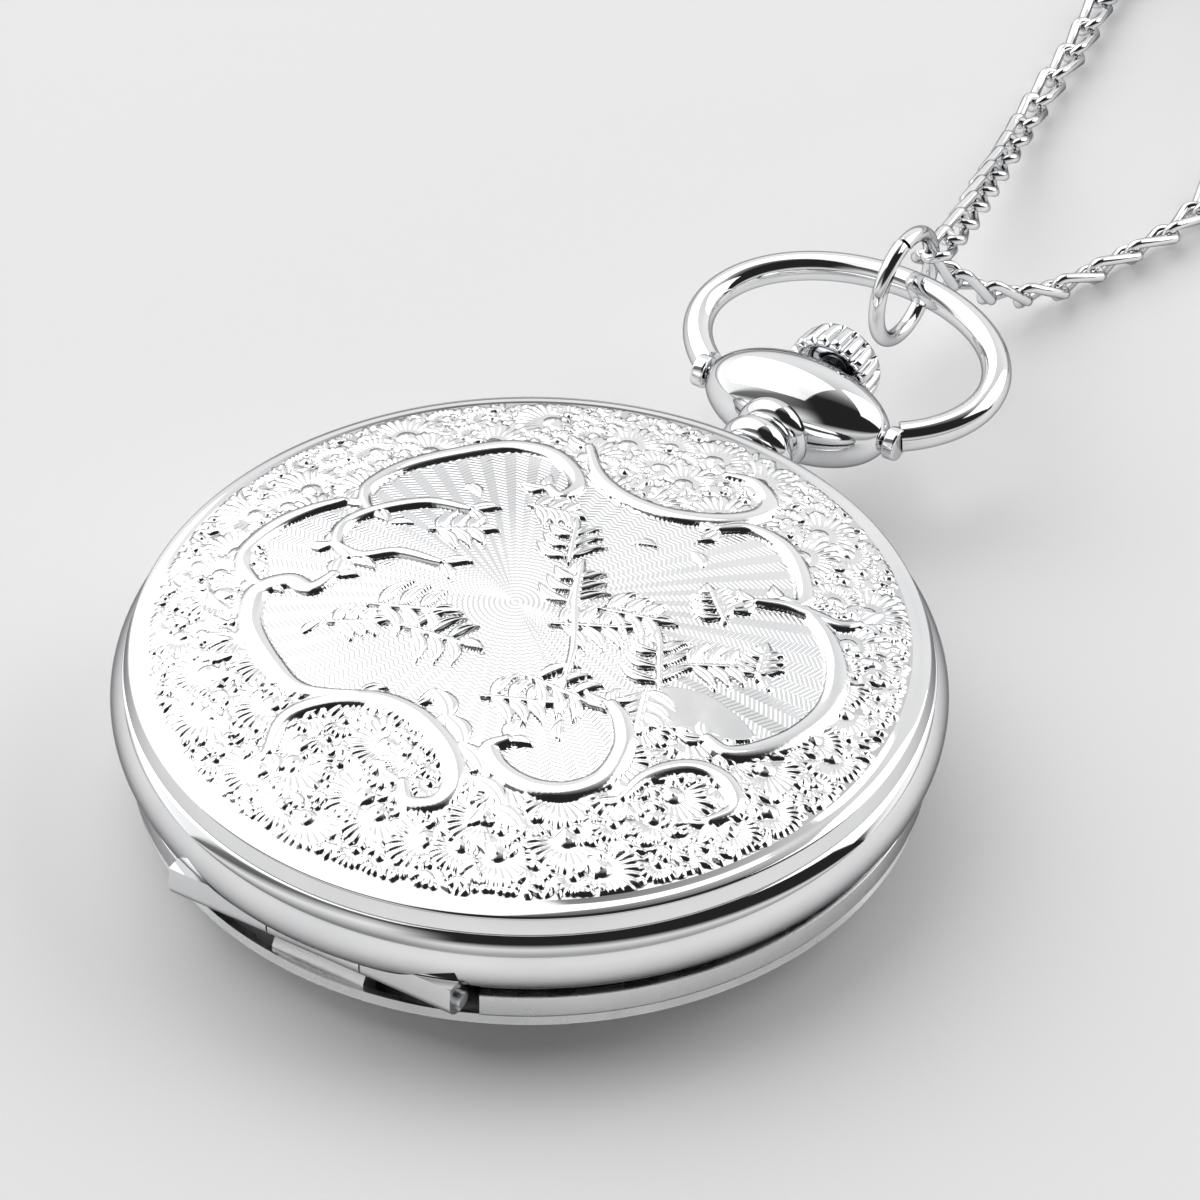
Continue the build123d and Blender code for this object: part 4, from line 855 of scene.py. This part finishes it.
shell_outline = rounded([
    (DOME_EDGE_R, DOME_EDGE_Z), (21.75, 10.22), (COVER_EDGE_R, 10.2), (22.4, 10.05),
    (SEAM_R + 0.02, 9.2), (SEAM_R + 0.05, 9.08), (21.85, 9.08), (21.85, 8.25), (21.5, 8.25),
    (21.5, 9.6),
], 0.12, closed=False)
shell_outline += [(r, float(cover_z(r, SHELL))) for r in np.linspace(21.0, 0.05, 24)]
cover_shell = joined("back_cover_shell", [lathe(shell_outline, 360, closed=False)], chrome, "back_cover")
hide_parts("back_cover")

bead = arc((22.3, 4.8), (BEAD_R, BEAD_Z), (SEAM_R, SEAM_Z), 40)
middle_outline = [(20.9, 5.2), (20.3, 5.2), (20.3, 4.8), (22.15, 4.8)] + bead[1:-1] + [
    (SEAM_R - 0.05, 9.03), (21.9, SEAM_Z), (21.9, 8.0), (20.9, 8.0)]
LUGS = ((-9.2, -2.85), (3.25, 9.0))


def prism_x(outline, left, right):
    """An outline of (y, z) carried along X, closed at both ends."""
    count = len(outline)
    points = [(left, y, z) for y, z in outline] + [(right, y, z) for y, z in outline]
    faces = [(i, (i + 1) % count, count + (i + 1) % count, count + i) for i in range(count)]
    faces.append(tuple(reversed(range(count))))
    faces.append(tuple(range(count, 2 * count)))
    return points, faces


def hinge_barrel(top):
    """The section of a hinge lug: round below, with a straight neck up or down to its plate."""
    lower = [(HINGE_Y + KNUCKLE_R * cos(radians(a)), HINGE_Z + KNUCKLE_R * sin(radians(a)))
             for a in range(180, 361, 9)]
    return lower + [(HINGE_Y + 0.6, top), (HINGE_Y - 0.9, top)]


middle_parts = [lathe(middle_outline, 512)]
for left, right in LUGS:
    middle_parts.append(prism_x(hinge_barrel(6.0), left, right))
case_ring = joined("case_ring", middle_parts, chrome, "case", 35)
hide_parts("case_middle")

pin_outline = rounded([(0.01, -9.5), (0.5, -9.5), (0.5, 9.3), (0.01, 9.3)], 0.12, closed=False)
pin_part = about_x(lathe(pin_outline, 48, closed=False), HINGE_Y, HINGE_Z)
pin = joined("hinge_pin", [pin_part], steel, "case")
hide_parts("lid_hinge_pin")

# ---- front lid ----------------------------------------------------------------------------
lid_dome = arc((9.0, 0.0), (16.0, 0.86), (DOME_EDGE_R, 1.94), 24)
lid_outline = [(0.05, 0.0), (8.0, 0.0)] + lid_dome + rounded(
    [(DOME_EDGE_R, 1.94), (22.49, 2.26), (22.15, 2.8), (22.5, 2.95), (22.05, 2.95), (21.7, 2.45),
     (21.25, 2.32)], 0.08, closed=False)[1:]
lid_outline += [(r, z + SHELL) for r, z in reversed(lid_dome)] + [(0.05, SHELL)]
wall_outline = rounded([(22.5, 2.9), (22.62, 3.1), (22.62, 4.42), (22.05, 4.42), (22.05, 2.9)], 0.06)
wall_start = degrees(atan2(-sqrt(22.3**2 - 9.5**2), 9.5))
wall_end = degrees(atan2(-sqrt(22.3**2 - 9.7**2), -9.7)) + 360
knuckle = [(HINGE_Y + KNUCKLE_R * cos(radians(a)), HINGE_Z + KNUCKLE_R * sin(radians(a)))
           for a in range(-42, 265, 9)] + [(-21.97, 3.2), (-21.97, 2.25), (-20.75, 2.0)]
lid = joined("front_lid_shell", [
    lathe(lid_outline, 400, closed=False),
    lathe(wall_outline, 400, True, wall_start, wall_end - wall_start),
    prism_x(knuckle, -2.75, 3.15),
], satin, "front_lid", 35)
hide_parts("front_lid")


def lid_z(radius):
    """Height of the lid's outer dome."""
    return np.interp(radius, [r for r, z in lid_dome], [z for r, z in lid_dome])


def lid_relief(x, y):
    """The lid's stamped border: the same kind of flowers in rings round a plain middle."""
    relief = Relief(x, y)
    for ring_r, count, size in ((19.9, 46, 1.35), (17.3, 38, 1.35), (14.9, 30, 1.3)):
        for step in range(count):
            angle = 2 * pi * (step + 0.5 * (ring_r < 18)) / count
            relief.fan(ring_r * cos(angle) - 0.4 * cos(angle), ring_r * sin(angle) - 0.4 * sin(angle), angle,
                       size, 9, 0.17)
            between = angle + pi / count
            relief.pearl((ring_r + 1.0) * cos(between), (ring_r + 1.0) * sin(between), 0.28, 0.15)
    for step in range(96):
        angle = 2 * pi * step / 96
        relief.pearl(13.1 * cos(angle), 13.1 * sin(angle), 0.22, 0.15)
    ground = (np.hypot(x, y) < 12.7).astype(float)
    # Painted shade: the low ground between the border's flowers gets a weight that darkens the base colour.
    hollow_shade = np.clip(0.06 - relief.height, 0, 0.06) / 0.06 * (1 - ground)
    return relief.height, ground, hollow_shade * 0.5


lid_face = stamped_disc("front_lid_relief", lambda r: lid_z(r) - 0.02, lid_relief, DOME_EDGE_R - 0.2,
                        110, 1200, -1, lid_metal, inner=11.5)
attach(lid_face, "front_lid")

# ---- pendant, crown, bow and ring ---------------------------------------------------------
neck = [(0.01, 20.95), (1.3, 20.95), (1.3, 22.4), (2.0, 22.45), (2.0, 23.6)]
neck += arc((1.7, 24.15), (2.32, 25.08), (1.7, 26.0), 24) + arc((1.7, 26.2), (2.35, 27.05), (1.7, 27.9), 24)
neck += rounded([(1.72, 27.94), (2.12, 27.95), (2.12, 28.2), (1.7, 28.3), (1.6, 30.0)], 0.06, closed=False)
ball = [(BALL_R * sin(pi * i / 96) + 0.001, -BALL_HALF_X * cos(pi * i / 96)) for i in range(97)]
pendant = joined("pendant_casting", [about_y(lathe(neck, 96, closed=False)),
                                     about_x(lathe(ball, 144, closed=False), BALL_Y)], chrome, "case",
                 50)
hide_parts("pendant")

FLUTES = 18


def fluted_crown():
    """The crown: rounded flutes that die away into a smooth rim under a low cap."""
    rows = [(33.6, 1.05, 0), (33.6, 2.1, 0), (33.34, 2.14, 0), (33.3, 2.2, 0), (33.3, 2.6, 0.8),
            (33.4, 2.74, 1), (33.7, 2.8, 1), (34.2, 2.78, 1), (34.7, 2.74, 1), (35.05, 2.7, 0.85),
            (35.25, 2.64, 0.4), (35.36, 2.58, 0), (35.46, 2.48, 0), (35.5, 2.36, 0), (35.5, 2.26, 0),
            (35.56, 2.1, 0), (35.75, 1.6, 0), (35.9, 1.0, 0), (35.98, 0.5, 0), (36.0, 0.02, 0)]
    around = FLUTES * 16
    points, faces = [], []
    for height, radius, depth in rows:
        for step in range(around):
            angle = 2 * pi * step / around
            groove = 0.5 - 0.5 * cos(angle * FLUTES)
            r = radius - 0.42 * depth * groove**3
            points.append((r * cos(angle), height, STEM_Z + r * sin(angle)))
    for row in range(len(rows) - 1):
        for step in range(around):
            following = (step + 1) % around
            faces.append((row * around + step, (row + 1) * around + step, (row + 1) * around + following,
                          row * around + following))
    return points, faces


crown = joined("crown_knob", [fluted_crown()], chrome, "crown", 55)
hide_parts("crown")


def bow_point(angle):
    """A point of the bow's centreline, tilted about the pivot."""
    x = BOW_HALF_X * cos(angle)
    out = BOW_CENTRE_Y - PIVOT_Y + BOW_HALF_Y * sin(angle)
    return (x, PIVOT_Y + out * cos(radians(BOW_TILT)), STEM_Z + out * sin(radians(BOW_TILT)))


BOW_START_X = 6.6  # where the wire meets its collar
bow_start = atan2(-sqrt(1 - (BOW_START_X / BOW_HALF_X) ** 2), BOW_START_X / BOW_HALF_X)
bow_line = [bow_point(bow_start + (pi - 2 * bow_start) * i / 160) for i in range(161)]
bow_parts = [swept(bow_line, BOW_WIRE_R, 40)]
for side in (-1, 1):
    low, high = sorted((side * 6.15, side * 6.95))
    collar = rounded([(0.01, low), (1.0, low), (1.0, high), (0.01, high)], 0.16, closed=False)
    bow_parts.append(about_x(lathe(collar, 64, closed=False), PIVOT_Y))
    low, high = sorted((side * 5.2, side * 6.3))
    bow_parts.append(about_x(lathe([(0.42, low), (0.42, high)], 32, closed=False), PIVOT_Y))
bow = joined("bow_wire", bow_parts, chrome, "bow", 50)
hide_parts("bow")

ring_line = []
for i in range(121):
    turn = radians(100 + 357 * i / 120)
    ring_line.append((RING_CENTRE[0] + 0.05 * (i / 120 - 0.5), RING_CENTRE[1] + RING_R * cos(turn),
                      RING_CENTRE[2] + RING_R * sin(turn)))
split_ring = joined("split_jump_ring", [swept(ring_line, RING_WIRE_R, 28)], chrome, "jump_ring",
                    50)
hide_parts("jump_ring")

# ---- dial printing, jewels and the CAD pieces' finishes -----------------------------------
DIAL_FACE_Z = 4.985
SECONDS_DEPTH = 0.08  # how far the sub-seconds face lies behind the dial's


def dial_print():
    """Minute track and sub-seconds track as thin ink, facing down."""
    parts = []
    for minute in range(60):
        major = minute % 5 == 0
        angle = 2 * pi * minute / 60
        inner, outer, half = (16.0 if major else 16.5, 17.0, 0.11 if major else 0.04)
        parts.append(ink_bar(0, 0, angle, inner, outer, half))
    for radius in (16.45, 17.05):
        parts.append(lathe([(radius, DIAL_FACE_Z), (radius + 0.06, DIAL_FACE_Z)], 240, closed=False))
    for second in range(60):
        angle = 2 * pi * second / 60
        inner = 2.75 if second % 5 else 2.5
        half = 0.06 if second % 15 == 0 else 0.03
        parts.append(ink_bar(*FOURTH, angle, inner, 3.2, half, DIAL_FACE_Z + SECONDS_DEPTH))
    return parts


def ink_bar(cx, cy, angle, inner, outer, half, z=DIAL_FACE_Z):
    """One printed stroke pointing away from a centre."""
    points = []
    for r, side in ((inner, -half), (outer, -half), (outer, half), (inner, half)):
        points.append((cx + r * cos(angle) - side * sin(angle), cy + r * sin(angle) + side * cos(angle), z))
    return points, [(3, 2, 1, 0)]


joined("dial_tracks", dial_print(), dial_ink, "case")


def numeral(hour):
    """One upright numeral on the dial, read from below."""
    text = bpy.data.curves.new(f"numeral_{hour}", "FONT")
    text.body = str(hour)
    text.size = 3.4 * MM
    text.align_x, text.align_y = "CENTER", "CENTER"
    lettering = bpy.data.objects.new(f"numeral_{hour}", text)
    bpy.context.scene.collection.objects.link(lettering)
    mesh = bpy.data.meshes.new_from_object(lettering)
    bpy.data.objects.remove(lettering)
    piece = bpy.data.objects.new(f"numeral_{hour}", mesh)
    bpy.context.scene.collection.objects.link(piece)
    angle = radians(90 + 30 * hour)
    place = Vector((14.0 * cos(angle) * MM, 14.0 * sin(angle) * MM, DIAL_FACE_Z * MM))
    piece.matrix_world = Matrix.Translation(place) @ Matrix.Rotation(pi, 4, "Y")
    mesh.materials.clear()
    mesh.materials.append(dial_ink)
    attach(piece, "case")


for hour in range(1, 13):
    if hour != 6:
        numeral(hour)

CENTRE, THIRD, ESCAPE, BALANCE = (0.0, 0.0), (-4.62, -5.52), (5.06, -10.84), (10.4, -3.0)
JEWEL_LOW, JEWEL_HIGH, JEWEL_BORE_R, JEWEL_R = 10.08, 10.15, 0.19, 0.62
jewel_outline = rounded([(JEWEL_BORE_R, JEWEL_LOW), (JEWEL_BORE_R, JEWEL_HIGH), (JEWEL_R, JEWEL_HIGH),
                         (JEWEL_R, JEWEL_LOW)], 0.04)
for number, (jx, jy) in enumerate((CENTRE, THIRD, FOURTH, ESCAPE, BALANCE)):
    points, faces = lathe(jewel_outline, 48)
    points = [(x + jx, y + jy, z) for x, y, z in points]
    mesh_piece(f"bearing_jewel_{number}", points, faces, jewel, "case")

FINISHES = {
    nickel: ("mainplate", "barrel_bridge", "train_bridge", "balance_cock"),
    gilt: ("barrel", "centre_wheel", "third_wheel", "fourth_wheel", "balance_wheel", "minute_wheel",
           "hour_wheel"),
    blued: ("bridge_screws", "hour_hand", "minute_hand", "seconds_hand", "hairspring"),
    chrome: ("bezel",),
    dial_white: ("dial",),
    clear_glass: ("crystal",),
    rubber: ("crown_gasket",),
    resin: ("movement_ring",),
    steel: ("lid_spring", "catch_spring", "crown_sleeve", "winding_stem", "winding_pinion", "sliding_clutch",
            "setting_lever", "yoke", "crown_wheel", "ratchet_wheel", "barrel_arbor", "click", "click_spring",
            "case_screws", "escape_wheel", "pallet_fork", "cannon_pinion", "mainspring"),
}
for material, names in FINISHES.items():
    for name in names:
        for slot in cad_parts[name].material_slots:
            slot.material = material
